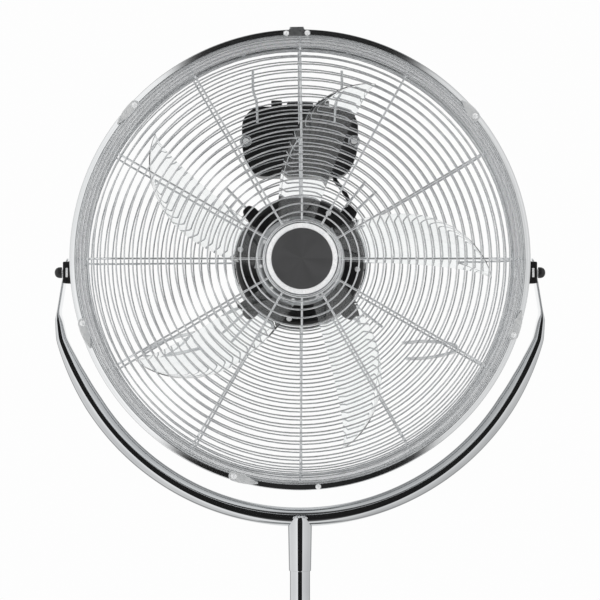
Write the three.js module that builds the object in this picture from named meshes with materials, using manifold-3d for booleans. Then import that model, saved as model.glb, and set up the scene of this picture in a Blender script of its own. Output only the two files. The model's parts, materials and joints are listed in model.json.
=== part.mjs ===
// Pedestal fan with a chrome drum head in a U-shaped yoke, in millimetres.
// +Z is up, the fan blows towards -Y, and the origin is the centre of the base on the floor.
import * as THREE from 'three';
import { mergeVertices } from 'three/addons/utils/BufferGeometryUtils.js';
import { ConvexGeometry } from 'three/addons/geometries/ConvexGeometry.js';
import Module from 'manifold-3d';

// Driving dimensions
const fit = 0.3; // air gap between pieces that touch
const fanHeight = 1090; // fan axis above the floor
const tiltDrop = 13; // tilt axis below the fan axis
const guardRadius = 257; // outside of the rolled rim bead
const beadSize = 7.6; // width of the rolled bead
const drumFront = -80; // centre of the front bead, along Y from the tilt axis
const drumRear = 40; // centre of the rear bead
const sheet = 1.1; // drum band thickness
const grilleFront = -125; // flat face of the front grille
const grilleRear = 66; // flat face of the rear grille
const grilleWire = 3; // width of the grille bars
const spokeCount = 12;
const bladeCount = 5;
const bladeTip = 220;
const bladeRoot = 49;
const bladePlane = -26; // middle of the blades, along Y
const bladeSheet = 1.6;
const motorRadius = 74;
const motorFront = 6;
const motorSplit = 36;
const motorFlange = 64.5;
const motorBack = 98;
const shaftRadius = 4;
const yokeRadius = 281.6; // centre line of the yoke's arc
const yokeTube = 11; // radius of the yoke's tube
const yokeEnd = 195; // direction of the arc's left end, in degrees from +X
const tabLean = 10.5; // lean of the flattened yoke ends, in degrees
const tabThick = 2.8;
const tabWidth = 34;
const tabX = 270.3; // tab centre at the tilt axis
const boltRadius = 4;
const poleRadius = 11.6;
const lowerPoleRadius = 14.6;
const poleWall = 1.3;
const collarTop = 506;
const collarBottom = 452;
const stemBottom = 733.5;
const stemRadius = 12.7; // of the stem's lower end
const baseRadius = 200;
const boxWidth = 138;
const boxLow = 103; // switch box above the fan axis
const boxHigh = 186;
const boxFront = 70;
const boxBack = 125;
const boxCorner = 25;
const boxTall = 42; // height of the box's lower corners

const finishes = {
  chrome: { color: 0xd8dadc, roughness: 0.08, metalness: 1 },
  steelWire: { color: 0xc8cacc, roughness: 0.2, metalness: 1 },
  steel: { color: 0xa9abad, roughness: 0.35, metalness: 1 },
  clearPlastic: { color: 0xe6eaec, roughness: 0.05, metalness: 0, transparent: true, opacity: 0.4 },
  blackPlastic: { color: 0x141414, roughness: 0.35, metalness: 0 },
  blackPaint: { color: 0x101010, roughness: 0.4, metalness: 0.1 },
  greyPlastic: { color: 0x404042, roughness: 0.45, metalness: 0 },
  rubber: { color: 0x1a1a1a, roughness: 0.85, metalness: 0 },
  castIron: { color: 0x2b2b2b, roughness: 0.7, metalness: 0.6 },
  brass: { color: 0xb09050, roughness: 0.35, metalness: 1 },
};

const fan = new THREE.Group();
const head = new THREE.Group(); // at the tilt axis
const airway = new THREE.Group(); // at the fan axis
const yoke = new THREE.Group(); // at the tilt axis
head.position.z = fanHeight - tiltDrop;
yoke.position.z = fanHeight - tiltDrop;
airway.position.z = tiltDrop;
head.add(airway);
fan.add(head, yoke);

const wasm = await Module();
wasm.setup();

const angle = THREE.MathUtils.degToRad;

// Welds a geometry's shared points, drops its collapsed triangles and turns its faces outwards.
function weld(geometry) {
  const bare = new THREE.BufferGeometry();
  bare.setAttribute('position', geometry.getAttribute('position').clone());
  if (geometry.index) bare.setIndex(geometry.index.clone());
  const welded = mergeVertices(bare, 1e-3);
  const point = welded.getAttribute('position');
  const corners = welded.index.array;
  const kept = [];
  let volume = 0;
  const [a, b, c] = [new THREE.Vector3(), new THREE.Vector3(), new THREE.Vector3()];
  for (let i = 0; i < corners.length; i += 3) {
    const face = [corners[i], corners[i + 1], corners[i + 2]];
    if (face[0] === face[1] || face[1] === face[2] || face[2] === face[0]) continue;
    a.fromBufferAttribute(point, face[0]);
    b.fromBufferAttribute(point, face[1]);
    c.fromBufferAttribute(point, face[2]);
    volume += a.dot(b.cross(c));
    kept.push(face);
  }
  const faces = volume < 0 ? kept.map(([p, q, r]) => [p, r, q]) : kept;
  welded.setIndex(faces.flat());
  return welded;
}

function toSolid(geometry) {
  const welded = weld(geometry);
  const vertProperties = new Float32Array(welded.getAttribute('position').array);
  const triVerts = new Uint32Array(welded.index.array);
  return new wasm.Manifold(new wasm.Mesh({ numProp: 3, vertProperties, triVerts }));
}

function toGeometry(solid) {
  const mesh = solid.getMesh();
  const geometry = new THREE.BufferGeometry();
  geometry.setAttribute('position', new THREE.BufferAttribute(mesh.vertProperties, 3));
  geometry.setIndex(new THREE.BufferAttribute(mesh.triVerts, 1));
  return geometry;
}

function join(...pieces) {
  return toGeometry(pieces.map(toSolid).reduce((whole, piece) => whole.add(piece)));
}

function cut(body, ...tools) {
  return toGeometry(tools.map(toSolid).reduce((rest, tool) => rest.subtract(tool), toSolid(body)));
}

function addPart(name, geometry, finish, group = fan) {
  const mesh = new THREE.Mesh(weld(geometry), new THREE.MeshStandardMaterial(finishes[finish]));
  mesh.name = name;
  group.add(mesh);
  return mesh;
}

// A profile of [radius, height] points turned about +Z.
function turned(profile, segments = 20) {
  const points = profile.map(([radius, height]) => new THREE.Vector2(radius, height));
  return new THREE.LatheGeometry(points, segments).rotateX(Math.PI / 2);
}

// A closed ring profile, turned about +Z.
function turnedRing(profile, segments = 20) {
  return turned([...profile, profile[0]], segments);
}

// The same profiles turned about +Y, with the second number along Y.
// The first point of every circle lies on +X.
function turnedY(profile, segments = 24) {
  const points = profile.map(([radius, height]) => new THREE.Vector2(radius, height));
  return new THREE.LatheGeometry(points, segments).rotateY(Math.PI / 2);
}

function turnedRingY(profile, segments = 24) {
  return turnedY([...profile, profile[0]], segments);
}

function cylinderX(radius, from, to, segments = 12) {
  const length = Math.abs(to - from);
  return new THREE.CylinderGeometry(radius, radius, length, segments)
    .rotateZ(Math.PI / 2)
    .translate((from + to) / 2, 0, 0);
}

function cylinderZ(radius, from, to, segments = 16) {
  return new THREE.CylinderGeometry(radius, radius, to - from, segments)
    .rotateX(Math.PI / 2)
    .translate(0, 0, (from + to) / 2);
}

function polygon(radius, sides) {
  const corners = Array.from({ length: sides }, (_, i) => {
    const turn = (i / sides) * 2 * Math.PI;
    return new THREE.Vector2(radius * Math.cos(turn), radius * Math.sin(turn));
  });
  return new THREE.Shape(corners);
}

// A round bar along a smooth curve through the points.
function bar(points, radius, sides, steps) {
  const path = new THREE.CatmullRomCurve3(points.map((p) => new THREE.Vector3(...p)), false, 'centripetal');
  return new THREE.ExtrudeGeometry(polygon(radius, sides), { steps, extrudePath: path, bevelEnabled: false });
}

// A flat outline in the XZ plane given thickness along +Y.
function slabXZ(shape, from, to, curveSegments = 6) {
  return new THREE.ExtrudeGeometry(shape, { depth: to - from, bevelEnabled: false, curveSegments })
    .rotateX(Math.PI / 2)
    .translate(0, to, 0);
}

// Round top corners and taller, elliptical bottom corners.
function boxOutline(left, bottom, right, top, corner, tall) {
  const shape = new THREE.Shape();
  shape.moveTo(left + corner, bottom);
  shape.lineTo(right - corner, bottom);
  shape.absellipse(right - corner, bottom + tall, corner, tall, -Math.PI / 2, 0);
  shape.absarc(right - corner, top - corner, corner, 0, Math.PI / 2);
  shape.absarc(left + corner, top - corner, corner, Math.PI / 2, Math.PI);
  shape.absellipse(left + corner, bottom + tall, corner, tall, Math.PI, 1.5 * Math.PI);
  return shape;
}

const mirrored = (geometry) => geometry.clone().scale(-1, 1, 1);

// Base: rubber ring, cast weight, chrome cover, bolt and pole socket
const weightLow = 6;
const coverTop = 44;
const weightBossTop = coverTop - 1.5 - fit;

addPart('base_rubber_ring', turnedRing([[158, 0], [176, 0], [176, weightLow - fit], [158, weightLow - fit]], 32),
  'rubber');
addPart('base_weight', turnedRing([
  [5.5, weightLow], [185, weightLow], [185, 11], [178, 14], [25, 14], [25, weightBossTop], [5.5, weightBossTop],
], 36), 'castIron');
addPart('base_cover', turnedRing([
  [5.5, coverTop], [26, coverTop], [90, 31.5], [180, 19], [baseRadius, 3], [baseRadius - 1.6, 3],
  [179, 17.3], [90, 30], [26, coverTop - 1.5], [5.5, coverTop - 1.5],
], 48), 'chrome');
addPart('base_bolt', turned([[0, 1.5], [13, 1.5], [13, weightLow - fit], [5, weightLow - fit], [5, 62], [0, 62]]),
  'steel');

// Telescopic pole: lower tube, clamp collar with its hand screw, and upper tube
const poleFoot = coverTop + fit;
const lowerPoleTop = 486;
const lowerBore = lowerPoleRadius - poleWall - 0.2;
const clampHeight = 470;
const clampHole = 4.2;

addPart('pole_socket', turnedRing([
  [lowerPoleRadius + fit, poleFoot], [25, poleFoot], [25, 50], [18, 70], [lowerPoleRadius + fit, 70],
]), 'chrome');
addPart('pole_nut', turnedRing([
  [5 + fit, poleFoot + 2], [lowerBore - fit, poleFoot + 2], [lowerBore - fit, 66], [5 + fit, 66],
]), 'steel');

const clampBore = () => cylinderX(clampHole, 0, 40).translate(0, 0, clampHeight);

addPart('lower_pole', cut(turnedRing([
  [lowerBore, poleFoot], [lowerPoleRadius, poleFoot], [lowerPoleRadius, lowerPoleTop], [lowerBore, lowerPoleTop],
]), clampBore()), 'chrome');
addPart('guide_bush', cut(turnedRing([
  [poleRadius + 0.35, 430], [lowerBore - fit, 430], [lowerBore - fit, lowerPoleTop], [poleRadius + 0.35, lowerPoleTop],
]), clampBore()), 'greyPlastic');
addPart('height_collar', cut(join(turnedRing([
  [lowerPoleRadius + fit, collarBottom], [19, collarBottom], [21, collarBottom + 4], [21, collarTop - 10],
  [15, collarTop], [poleRadius + 0.5, collarTop], [poleRadius + 0.5, lowerPoleTop + fit],
  [lowerPoleRadius + fit, lowerPoleTop + fit],
]), cylinderX(10, 17, 31).translate(0, 0, clampHeight)), clampBore()), 'blackPlastic');

const knobFrom = 31.5;
const knobTo = 52;
const studEnd = 43;
const lobes = 8;
const knobOutline = new THREE.Shape(Array.from({ length: 48 }, (_, i) => {
  const turn = (i / 48) * 2 * Math.PI;
  const radius = 17 + 1.4 * Math.cos(lobes * turn);
  return new THREE.Vector2(radius * Math.cos(turn), radius * Math.sin(turn));
}));
const knobBody = new THREE.ExtrudeGeometry(knobOutline, {
  depth: knobTo - knobFrom, bevelEnabled: false,
}).rotateY(Math.PI / 2).translate(knobFrom, 0, 0);
addPart('height_knob', cut(knobBody, cylinderX(boltRadius + fit, knobFrom - 5, studEnd + fit)), 'blackPlastic')
  .position.set(0, 0, clampHeight);
addPart('height_screw', cylinderX(boltRadius - 0.1, poleRadius + 0.4, studEnd), 'steel')
  .position.set(0, 0, clampHeight);

const upperPoleFoot = 300;
const upperPoleTop = 776;
addPart('upper_pole', turnedRing([
  [poleRadius - poleWall, upperPoleFoot], [poleRadius, upperPoleFoot], [poleRadius, upperPoleTop],
  [poleRadius - poleWall, upperPoleTop],
]), 'chrome');
addPart('pole_slide_plug', turned([
  [0, upperPoleFoot - 8], [lowerBore - fit, upperPoleFoot - 8], [lowerBore - fit, upperPoleFoot - fit],
  [poleRadius - poleWall - fit, upperPoleFoot - fit], [poleRadius - poleWall - fit, upperPoleFoot + 18],
  [0, upperPoleFoot + 18],
]), 'greyPlastic');

// Yoke: an arc of tube with flattened ends, on a tapered stem
function arcPoints(from, to, count) {
  return Array.from({ length: count + 1 }, (_, i) => {
    const turn = angle(from + ((to - from) * i) / count);
    return [yokeRadius * Math.cos(turn), 0, yokeRadius * Math.sin(turn)];
  });
}

// The left end: the round tube flattens into a leaning tab with a round top about the tilt axis.
function yokeTab() {
  const lean = angle(tabLean);
  const along = new THREE.Vector3(Math.sin(lean), 0, Math.cos(lean));
  const across = new THREE.Vector3(0, 1, 0);
  const inward = new THREE.Vector3().crossVectors(across, along);
  const half = tabWidth / 2;
  const shape = new THREE.Shape();
  shape.moveTo(-half, -50);
  shape.lineTo(half, -50);
  shape.lineTo(half, 0);
  shape.absarc(0, 0, half, 0, Math.PI);
  const place = new THREE.Matrix4().makeBasis(across, along, inward);
  const plate = new THREE.ExtrudeGeometry(shape, { depth: tabThick, bevelEnabled: false, curveSegments: 8 })
    .translate(0, 0, -tabThick / 2)
    .applyMatrix4(place)
    .translate(-tabX, 0, 0);
  const corners = [];
  for (const s of [-42, -48]) {
    for (const y of [-half, half]) {
      for (const t of [-tabThick / 2, tabThick / 2]) {
        const corner = across.clone().multiplyScalar(y);
        corner.addScaledVector(along, s).addScaledVector(inward, t);
        corners.push(corner.add(new THREE.Vector3(-tabX, 0, 0)));
      }
    }
  }
  const end = angle(yokeEnd + 0.6);
  for (let i = 0; i < 12; i += 1) {
    const turn = (i / 12) * 2 * Math.PI;
    const radius = yokeRadius + yokeTube * Math.cos(turn);
    corners.push(new THREE.Vector3(radius * Math.cos(end), yokeTube * Math.sin(turn), radius * Math.sin(end)));
  }
  return join(plate, new ConvexGeometry(corners));
}

const tab = yokeTab();
const tubeArc = bar(arcPoints(yokeEnd, 540 - yokeEnd, 30), yokeTube, 10, 28);
const tubeBore = bar(arcPoints(yokeEnd + 2, 538 - yokeEnd, 30), yokeTube - poleWall, 6, 28);
const stemHole = cylinderZ(7, -yokeRadius - 16, -yokeRadius);
addPart('yoke', cut(
  join(tubeArc, tab, mirrored(tab)), tubeBore, stemHole,
  cylinderX(boltRadius + fit, -tabX - 12, -tabX + 12), cylinderX(boltRadius + fit, tabX - 12, tabX + 12),
), 'chrome', yoke);

const stemScrewHeight = stemBottom + 14;
const stemScrewHole = new THREE.CylinderGeometry(2.8, 2.8, 12, 16).translate(0, 16, stemScrewHeight);
addPart('yoke_stem', cut(turnedRing([
  [poleRadius + 0.35, stemBottom], [stemRadius, stemBottom], [stemRadius + 1.1, 800], [poleRadius + 0.35, 800],
]), stemScrewHole, bar(arcPoints(258, 282, 6), yokeTube + fit, 16, 8).translate(0, 0, fanHeight - tiltDrop)),
'chrome');
addPart('stem_screw', turnedY([
  [0, poleRadius + 0.4], [2.5, poleRadius + 0.4], [2.5, 14], [5.2, 14], [5.2, 20], [4, 21.5], [0, 21.5],
], 16), 'steel').position.set(0, 0, stemScrewHeight);

// Tilt pivots: bolt, wedge block, leaning washer and dome nut on each side
const blockHalf = 12.7;
const cheekFrom = 262;
const cheekTo = 272.8;
const cheekThick = 1.2;
const blockInner = 254.5;
const capFrom = 274.6;
const capTo = 283.2;
const capRadius = 6.4;
const boltHeadFrom = 247.2;
const boltHeadTo = 250.6;

// A wedge between the drum and the tab, with a cheek over each edge of the tab.
function pivotBlock() {
  const slope = Math.tan(angle(tabLean));
  const face = -tabX + tabThick / 2 / Math.cos(angle(tabLean)) + fit;
  const shape = new THREE.Shape([
    new THREE.Vector2(-blockInner, -blockHalf), new THREE.Vector2(-blockInner, blockHalf),
    new THREE.Vector2(face + slope * blockHalf, blockHalf), new THREE.Vector2(face - slope * blockHalf, -blockHalf),
  ]);
  const inside = tabWidth / 2 + fit;
  const deep = inside + cheekThick;
  const cheek = (from) => new THREE.BoxGeometry(cheekTo - cheekFrom, cheekThick, 2 * blockHalf)
    .translate(-(cheekFrom + cheekTo) / 2, from + cheekThick / 2, 0);
  return cut(
    join(slabXZ(shape, -deep, deep), cheek(-deep), cheek(inside)),
    cylinderX(boltRadius + fit, -tabX - 5, -blockInner + 5),
  );
}

function pivotBolt() {
  const radius = boltRadius - 0.1;
  return join(cylinderX(radius, -capTo + 4, -boltHeadTo + 1), cylinderX(7, -boltHeadTo, -boltHeadFrom, 6));
}

function pivotWasher() {
  const offset = tabThick / 2 + fit;
  return turnedRingY([[boltRadius + 0.5, 0], [6.2, 0], [6.2, 1], [boltRadius + 0.5, 1]], 14)
    .rotateZ(Math.PI / 2)
    .translate(-offset, 0, 0)
    .rotateY(angle(tabLean))
    .translate(-tabX, 0, 0);
}

function pivotCap() {
  const inside = capTo - 4 + fit;
  return turnedY([
    [0, capTo], [2.9, capTo - 0.5], [5.1, capTo - 2.2], [capRadius, capTo - 5], [capRadius, capFrom],
    [boltRadius + fit, capFrom], [boltRadius + fit, inside], [0, inside],
  ], 14).rotateZ(Math.PI / 2);
}

const pivotPieces = [
  ['pivot_block', pivotBlock(), 'blackPlastic', yoke],
  ['pivot_bolt', pivotBolt(), 'steel', head],
  ['pivot_washer', pivotWasher(), 'chrome', yoke],
  ['pivot_cap', pivotCap(), 'blackPlastic', head],
];
for (const [name, geometry, finish, group] of pivotPieces) {
  addPart(`${name}_left`, geometry, finish, group);
  addPart(`${name}_right`, mirrored(geometry), finish, group);
}

// Drum: a rolled band with a bead at each edge
const bandOuter = guardRadius - 3;
const bandInner = bandOuter - sheet;
const halfBead = beadSize / 2;
const drum = turnedRingY([
  [bandInner, drumFront - halfBead], [guardRadius - 1.6, drumFront - halfBead],
  [guardRadius, drumFront - 1.8], [guardRadius, drumFront + 1.8], [bandOuter, drumFront + halfBead],
  [bandOuter, drumRear - halfBead], [guardRadius, drumRear - 1.8], [guardRadius, drumRear + 1.8],
  [guardRadius - 1.6, drumRear + halfBead], [bandInner, drumRear + halfBead],
], 48);
const drumBore = () => cylinderX(boltRadius + fit, -guardRadius, -guardRadius + 10).translate(0, 0, -tiltDrop);
addPart('drum_band', cut(drum, drumBore(), mirrored(drumBore())), 'chrome', airway);

// Grilles: rings and spokes in one plane, then dished by moving each point along Y with its radius
function grille(rings, dish, thickness) {
  const segments = 36;
  const circle = (radius) => Array.from({ length: segments }, (_, i) => {
    const turn = (i / segments) * 2 * Math.PI;
    return new THREE.Vector2(radius * Math.cos(turn), radius * Math.sin(turn));
  });
  const half = grilleWire / 2;
  const shape = new THREE.Shape(circle(rings.at(-1)[1]));
  shape.holes.push(new THREE.Path(circle(rings[0][0])));
  for (let ring = 0; ring + 1 < rings.length; ring += 1) {
    const low = rings[ring][1];
    const high = rings[ring + 1][0];
    for (let spoke = 0; spoke < spokeCount; spoke += 1) {
      const from = (spoke / spokeCount) * 2 * Math.PI;
      const to = ((spoke + 1) / spokeCount) * 2 * Math.PI;
      const arc = (radius) => {
        const inset = Math.asin(half / radius);
        return [0, 1, 2].map((k) => {
          const turn = from + inset + ((to - from - 2 * inset) * k) / 2;
          return new THREE.Vector2(radius * Math.cos(turn), radius * Math.sin(turn));
        });
      };
      shape.holes.push(new THREE.Path([...arc(low), ...arc(high).reverse()]));
    }
  }
  const flat = slabXZ(shape, 0, thickness);
  const point = flat.getAttribute('position');
  for (let i = 0; i < point.count; i += 1) {
    const radius = Math.hypot(point.getX(i), point.getZ(i));
    point.setY(i, point.getY(i) + dish(radius));
  }
  return flat;
}

const rimRing = bandInner - fit - 0.4;
const between = (x, x0, x1, y0, y1) => y0 + (y1 - y0) * THREE.MathUtils.clamp((x - x0) / (x1 - x0), 0, 1);
const frontEdge = 196; // where the front grille's flat face turns back towards the drum
const rearEdge = 229;
const rimBar = 246;
const frontDish = (radius) => between(radius, frontEdge + grilleWire, rimBar, grilleFront, drumFront - halfBead + 1);
const rearDish = (radius) => between(radius, rearEdge + grilleWire, rimBar, grilleRear, drumRear - 1);
const grilles = [
  ['front_grille_face', [[40.6, 43.6], [118, 121], [frontEdge - grilleWire, frontEdge]], frontDish],
  ['front_grille_side', [[frontEdge + fit, frontEdge + grilleWire], [rimBar, rimRing]], frontDish],
  ['rear_grille_face', [[77.4, 80.4], [150, 153], [rearEdge - grilleWire, rearEdge]], rearDish],
  ['rear_grille_side', [[rearEdge + fit, rearEdge + grilleWire], [rimBar, rimRing]], rearDish],
];
for (const [name, rings, dish] of grilles) {
  addPart(name, grille(rings, dish, grilleWire), 'steelWire', airway);
}
addPart('badge_disc', turnedY([
  [0, grilleFront - 2.4], [34, grilleFront - 1.8], [36, grilleFront - 0.6], [36, grilleFront + 2], [0, grilleFront + 2],
], 30), 'greyPlastic', airway);
addPart('badge_ring', turnedRingY([
  [36.3, grilleFront - 2.8], [38, grilleFront - 3.2], [40.3, grilleFront - 1.6], [40.3, grilleFront + 2],
  [36.3, grilleFront + 2],
], 30), 'chrome', airway);

// Leaf clips over the front bead, each with its dome screw: [screw direction, tip direction] in degrees
const clipFace = drumFront - halfBead - fit;
const clipRadius = 251.5;
const clipAngles = [[39.3, 44.5], [137, 143.5], [196.4, 203], [253, 259.4], [340.5, 347.2]];

function domeScrew(radius, height, face) {
  return turnedY([
    [0, face - height], [radius * 0.6, face - height * 0.8], [radius, face - height * 0.25], [radius, face + 0.2],
    [0, face + 0.2],
  ], 12);
}

function rimClip(screwAngle, tipAngle) {
  const length = clipRadius * angle(tipAngle - screwAngle);
  const shape = new THREE.Shape();
  shape.moveTo(0, -5);
  shape.quadraticCurveTo(length * 0.6, -6, length, -0.8);
  shape.lineTo(length, 0.8);
  shape.quadraticCurveTo(length * 0.6, 6, 0, 5);
  shape.absarc(0, 0, 5, Math.PI / 2, 1.5 * Math.PI);
  const leaf = slabXZ(shape, clipFace - 1.2, clipFace, 5);
  return join(leaf, domeScrew(3.4, 2.2, clipFace - 1.2))
    .rotateY(-Math.PI / 2)
    .translate(clipRadius, 0, 0)
    .rotateY(-angle(screwAngle));
}

clipAngles.forEach(([screwAngle, tipAngle], i) => {
  addPart(`rim_clip_${i + 1}`, rimClip(screwAngle, tipAngle), 'chrome', airway);
});

// Top bracket: an angle plate over the band's seam, with two dome screws
const bracketHalf = 15;
const bracketTop = guardRadius + fit + 2.2;
const bracketPlate = new THREE.BoxGeometry(2 * bracketHalf, 36, 2.2)
  .translate(0, clipFace - 1.4 + 18, guardRadius + fit + 1.1);
const bracketLip = new THREE.BoxGeometry(2 * bracketHalf, 1.4, bracketTop - 247)
  .translate(0, clipFace - 0.7, (bracketTop + 247) / 2);
const bracketScrew = (x) => domeScrew(3, 2, clipFace - 1.4).translate(x, 0, 252);
addPart('top_bracket', join(bracketPlate, bracketLip, bracketScrew(-11), bracketScrew(11)), 'chrome', airway);

// Cord wraps: wire hairpins standing out of the rear grille
const wrapWire = 2;
const wrapStart = grilleRear + grilleWire + wrapWire + fit;
function cordWrap(ends, tip, reach) {
  const [[x0, z0], [x1, z1]] = ends;
  const [xt, zt] = tip;
  const far = wrapStart + reach;
  return bar([
    [x0, wrapStart, z0], [(x0 + xt) / 2, wrapStart + reach * 0.7, (z0 + zt) / 2 + 5], [xt, far, zt + 5],
    [xt * 1.03, far + 1, zt], [xt, far, zt - 5], [(x1 + xt) / 2, wrapStart + reach * 0.7, (z1 + zt) / 2 - 5],
    [x1, wrapStart, z1],
  ], wrapWire, 6, 14);
}
addPart('cord_wrap_left', cordWrap([[-125, -83], [-119, -102]], [-183, -107], 34), 'steelWire', airway);
addPart('cord_wrap_right', cordWrap([[122, -95], [127, -114]], [183, -102], 34), 'steelWire', airway);

// Motor: two cast halves, stator, rotor, shaft and its bushes
const wall = 2.6;
const bushRadius = 9;
const coreFront = 32;
const coreBack = 54;
addPart('motor_front_shell', turnedRingY([
  [bushRadius + fit, motorFront], [60, motorFront], [70, motorFront + 3], [motorRadius, motorFront + 9],
  [motorRadius, motorSplit - fit], [motorRadius - wall, motorSplit - fit], [motorRadius - wall, motorFront + 10],
  [68, motorFront + 5], [59, motorFront + wall], [bushRadius + fit, motorFront + wall],
], 28), 'blackPaint', airway);

const rearShell = turnedRingY([
  [motorRadius - wall, motorSplit], [motorRadius, motorSplit], [motorRadius, motorFlange + 8], [64, motorBack - 8],
  [54, motorBack], [bushRadius + fit, motorBack], [bushRadius + fit, motorBack - 4], [52, motorBack - 4],
  [61, motorBack - 10], [motorRadius - wall, motorFlange + 7],
], 28);
const lugs = [45, 135, 225, 315].map((turn) => new THREE.BoxGeometry(20, 4, 15)
  .translate(motorRadius + 8, motorFlange - 2 - fit, 0)
  .rotateY(-angle(turn)));
addPart('motor_rear_shell', join(rearShell, ...lugs), 'blackPaint', airway);

addPart('stator', turnedRingY([
  [37, coreFront], [63, coreFront], [63, coreBack], [37, coreBack],
], 28), 'steel', airway);
addPart('rotor_core', turnedRingY([
  [shaftRadius + fit, coreFront], [36, coreFront], [36, coreBack], [shaftRadius + fit, coreBack],
], 28), 'steel', airway);
addPart('front_bush', turnedRingY([
  [shaftRadius + 0.1, motorFront - 2], [bushRadius, motorFront - 2], [bushRadius, motorFront + 8],
  [shaftRadius + 0.1, motorFront + 8],
], 24), 'brass', airway);
addPart('rear_bush', turnedRingY([
  [shaftRadius + 0.1, motorBack - 9], [bushRadius, motorBack - 9], [bushRadius, motorBack + 2],
  [shaftRadius + 0.1, motorBack + 2],
], 24), 'brass', airway);
addPart('motor_shaft', turnedY([
  [0, -56], [shaftRadius, -56], [shaftRadius, motorBack + 6], [0, motorBack + 6],
], 24), 'steel', airway);

// Blades: swept plates whose pitch eases off from root to tip.
// A point at radius r and direction a lies at Y = plane - tan(pitch) * r * (a - middle of the chord).
const leadingAngle = (x) => 5 * Math.sqrt(1 - x * x);
const rootFlare = (x) => 6.5 * Math.exp(2.4 - 7.1 * x) * Math.sqrt(1 - x * x);
const trailingAngle = (x) => 40 * (1 - x * x) ** 0.75 + rootFlare(x);
const pitch = (x) => angle(38 - 16 * x);

function onBlade(radius, along, offset) {
  const x = Math.min(radius / bladeTip, 1);
  const low = angle(leadingAngle(x));
  const high = angle(trailingAngle(x));
  const direction = low + (high - low) * along;
  const y = bladePlane - Math.tan(pitch(x)) * radius * (direction - (low + high) / 2) + offset;
  return [radius * Math.cos(direction), y, radius * Math.sin(direction)];
}

// A box whose three directions become radius, chord and thickness.
function bladePlate(from, to, chord, front, back, steps) {
  const plate = new THREE.BoxGeometry(1, 1, 1, steps, 3, 1).translate(0.5, 0.5, 0.5);
  const point = plate.getAttribute('position');
  for (let i = 0; i < point.count; i += 1) {
    const radius = from + (to - from) * Math.sin((point.getX(i) * Math.PI) / 2);
    const along = chord[0] + (chord[1] - chord[0]) * point.getY(i);
    const offset = front + (back - front) * point.getZ(i);
    point.setXYZ(i, ...onBlade(radius, along, offset));
  }
  return plate;
}

const tipAngle = -5.7;
const hubRadius = bladeRoot - 1; // the blade roots butt against the hub's rim
const hubDisc = turnedRingY([
  [shaftRadius + fit, -42], [13, -42], [13, -30], [hubRadius, -27], [hubRadius, -24], [13, -26], [13, -14],
  [shaftRadius + fit, -14],
], 20);
for (let i = 0; i < bladeCount; i += 1) {
  const turn = -angle(tipAngle + (360 / bladeCount) * i);
  const half = bladeSheet / 2;
  addPart(`blade_${i + 1}`, bladePlate(bladeRoot, bladeTip - 0.4, [0, 1], -half, half, 7).rotateY(turn),
    'clearPlastic', airway);
}
addPart('blade_hub', hubDisc, 'steel', airway);
addPart('blade_nut', turnedY([
  [0, -58.5], [6, -57.5], [9, -53], [9, -42.4], [shaftRadius + fit, -42.4], [shaftRadius + fit, -56.4], [0, -56.4],
], 18), 'steel', airway);

// Switch box: front plate, hollow rear shell with two lugs, selector knob, switch, capacitor, gland and lead
const boxHalf = boxWidth / 2;
const knobRadius = 15.8;
const knobHeight = 7.6;
const knobY = (boxFront + boxBack) / 2;
const boxShape = (inset) => boxOutline(
  -boxHalf + inset, boxLow + inset, boxHalf - inset, boxHigh - inset, boxCorner - inset, boxTall - inset,
);
const leadX = 42;
const knobHole = cylinderZ(5, boxHigh - 8, boxHigh + 4).translate(0, knobY, 0);
const lug = (x) => new THREE.BoxGeometry(13, 26, knobHeight + 3).translate(x, knobY, boxHigh + knobHeight / 2 - 1.5);
const leadHole = cylinderZ(3, boxLow - 4, boxLow + 12).translate(leadX, boxBack - 28, 0);
const glandX = -35;
const glandZ = boxLow + 20;
const glandHole = new THREE.CylinderGeometry(5, 5, 12, 20).translate(glandX, boxBack, glandZ);
addPart('switch_box_front', slabXZ(boxShape(0), boxFront, boxFront + 3 - fit), 'blackPlastic', airway);
addPart('switch_box_shell', cut(
  join(slabXZ(boxShape(0), boxFront + 3, boxBack), lug(-28), lug(28)),
  slabXZ(boxShape(2.4), boxFront, boxBack - 2.4), knobHole, leadHole, glandHole,
), 'blackPlastic', airway);

const ribs = 26;
const knobRim = new THREE.Shape(Array.from({ length: ribs * 2 }, (_, i) => {
  const turn = (i / (ribs * 2)) * 2 * Math.PI;
  const radius = i % 2 ? knobRadius : knobRadius - 1;
  return new THREE.Vector2(radius * Math.cos(turn), radius * Math.sin(turn));
}));
const knobDisc = new THREE.ExtrudeGeometry(knobRim, { depth: knobHeight - 0.6, bevelEnabled: false })
  .translate(0, 0, boxHigh + 0.6);
addPart('speed_knob', join(knobDisc, cylinderZ(4.4, boxHigh - 10, boxHigh + 1)), 'greyPlastic', airway)
  .position.set(0, knobY, 0);
addPart('rotary_switch', new THREE.BoxGeometry(32, 30, 26).translate(0, knobY, boxHigh - 24), 'greyPlastic', airway);
addPart('capacitor', cylinderX(9, 28, 60, 24).translate(0, knobY, boxLow + 40), 'greyPlastic', airway);
addPart('cord_gland', turnedRingY([
  [3.6, boxBack - 4], [4.7, boxBack - 4], [4.7, boxBack + fit], [8, boxBack + fit], [7.4, boxBack + 4], [5, boxBack + 14],
  [3.6, boxBack + 14],
], 20).translate(glandX, 0, glandZ), 'rubber', airway);
addPart('motor_lead', bar([
  [leadX, boxBack - 28, boxLow + 5], [leadX, boxBack - 28, boxLow - 2], [48, 95, 92], [56, 90, 80], [59, 86, 68],
  [57, 82, 59], [53.6, 79, 54.4],
], 2.5, 8, 14), 'rubber', airway);

export default fan;
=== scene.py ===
import json

import bpy
import numpy as np
from mathutils import Matrix


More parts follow.
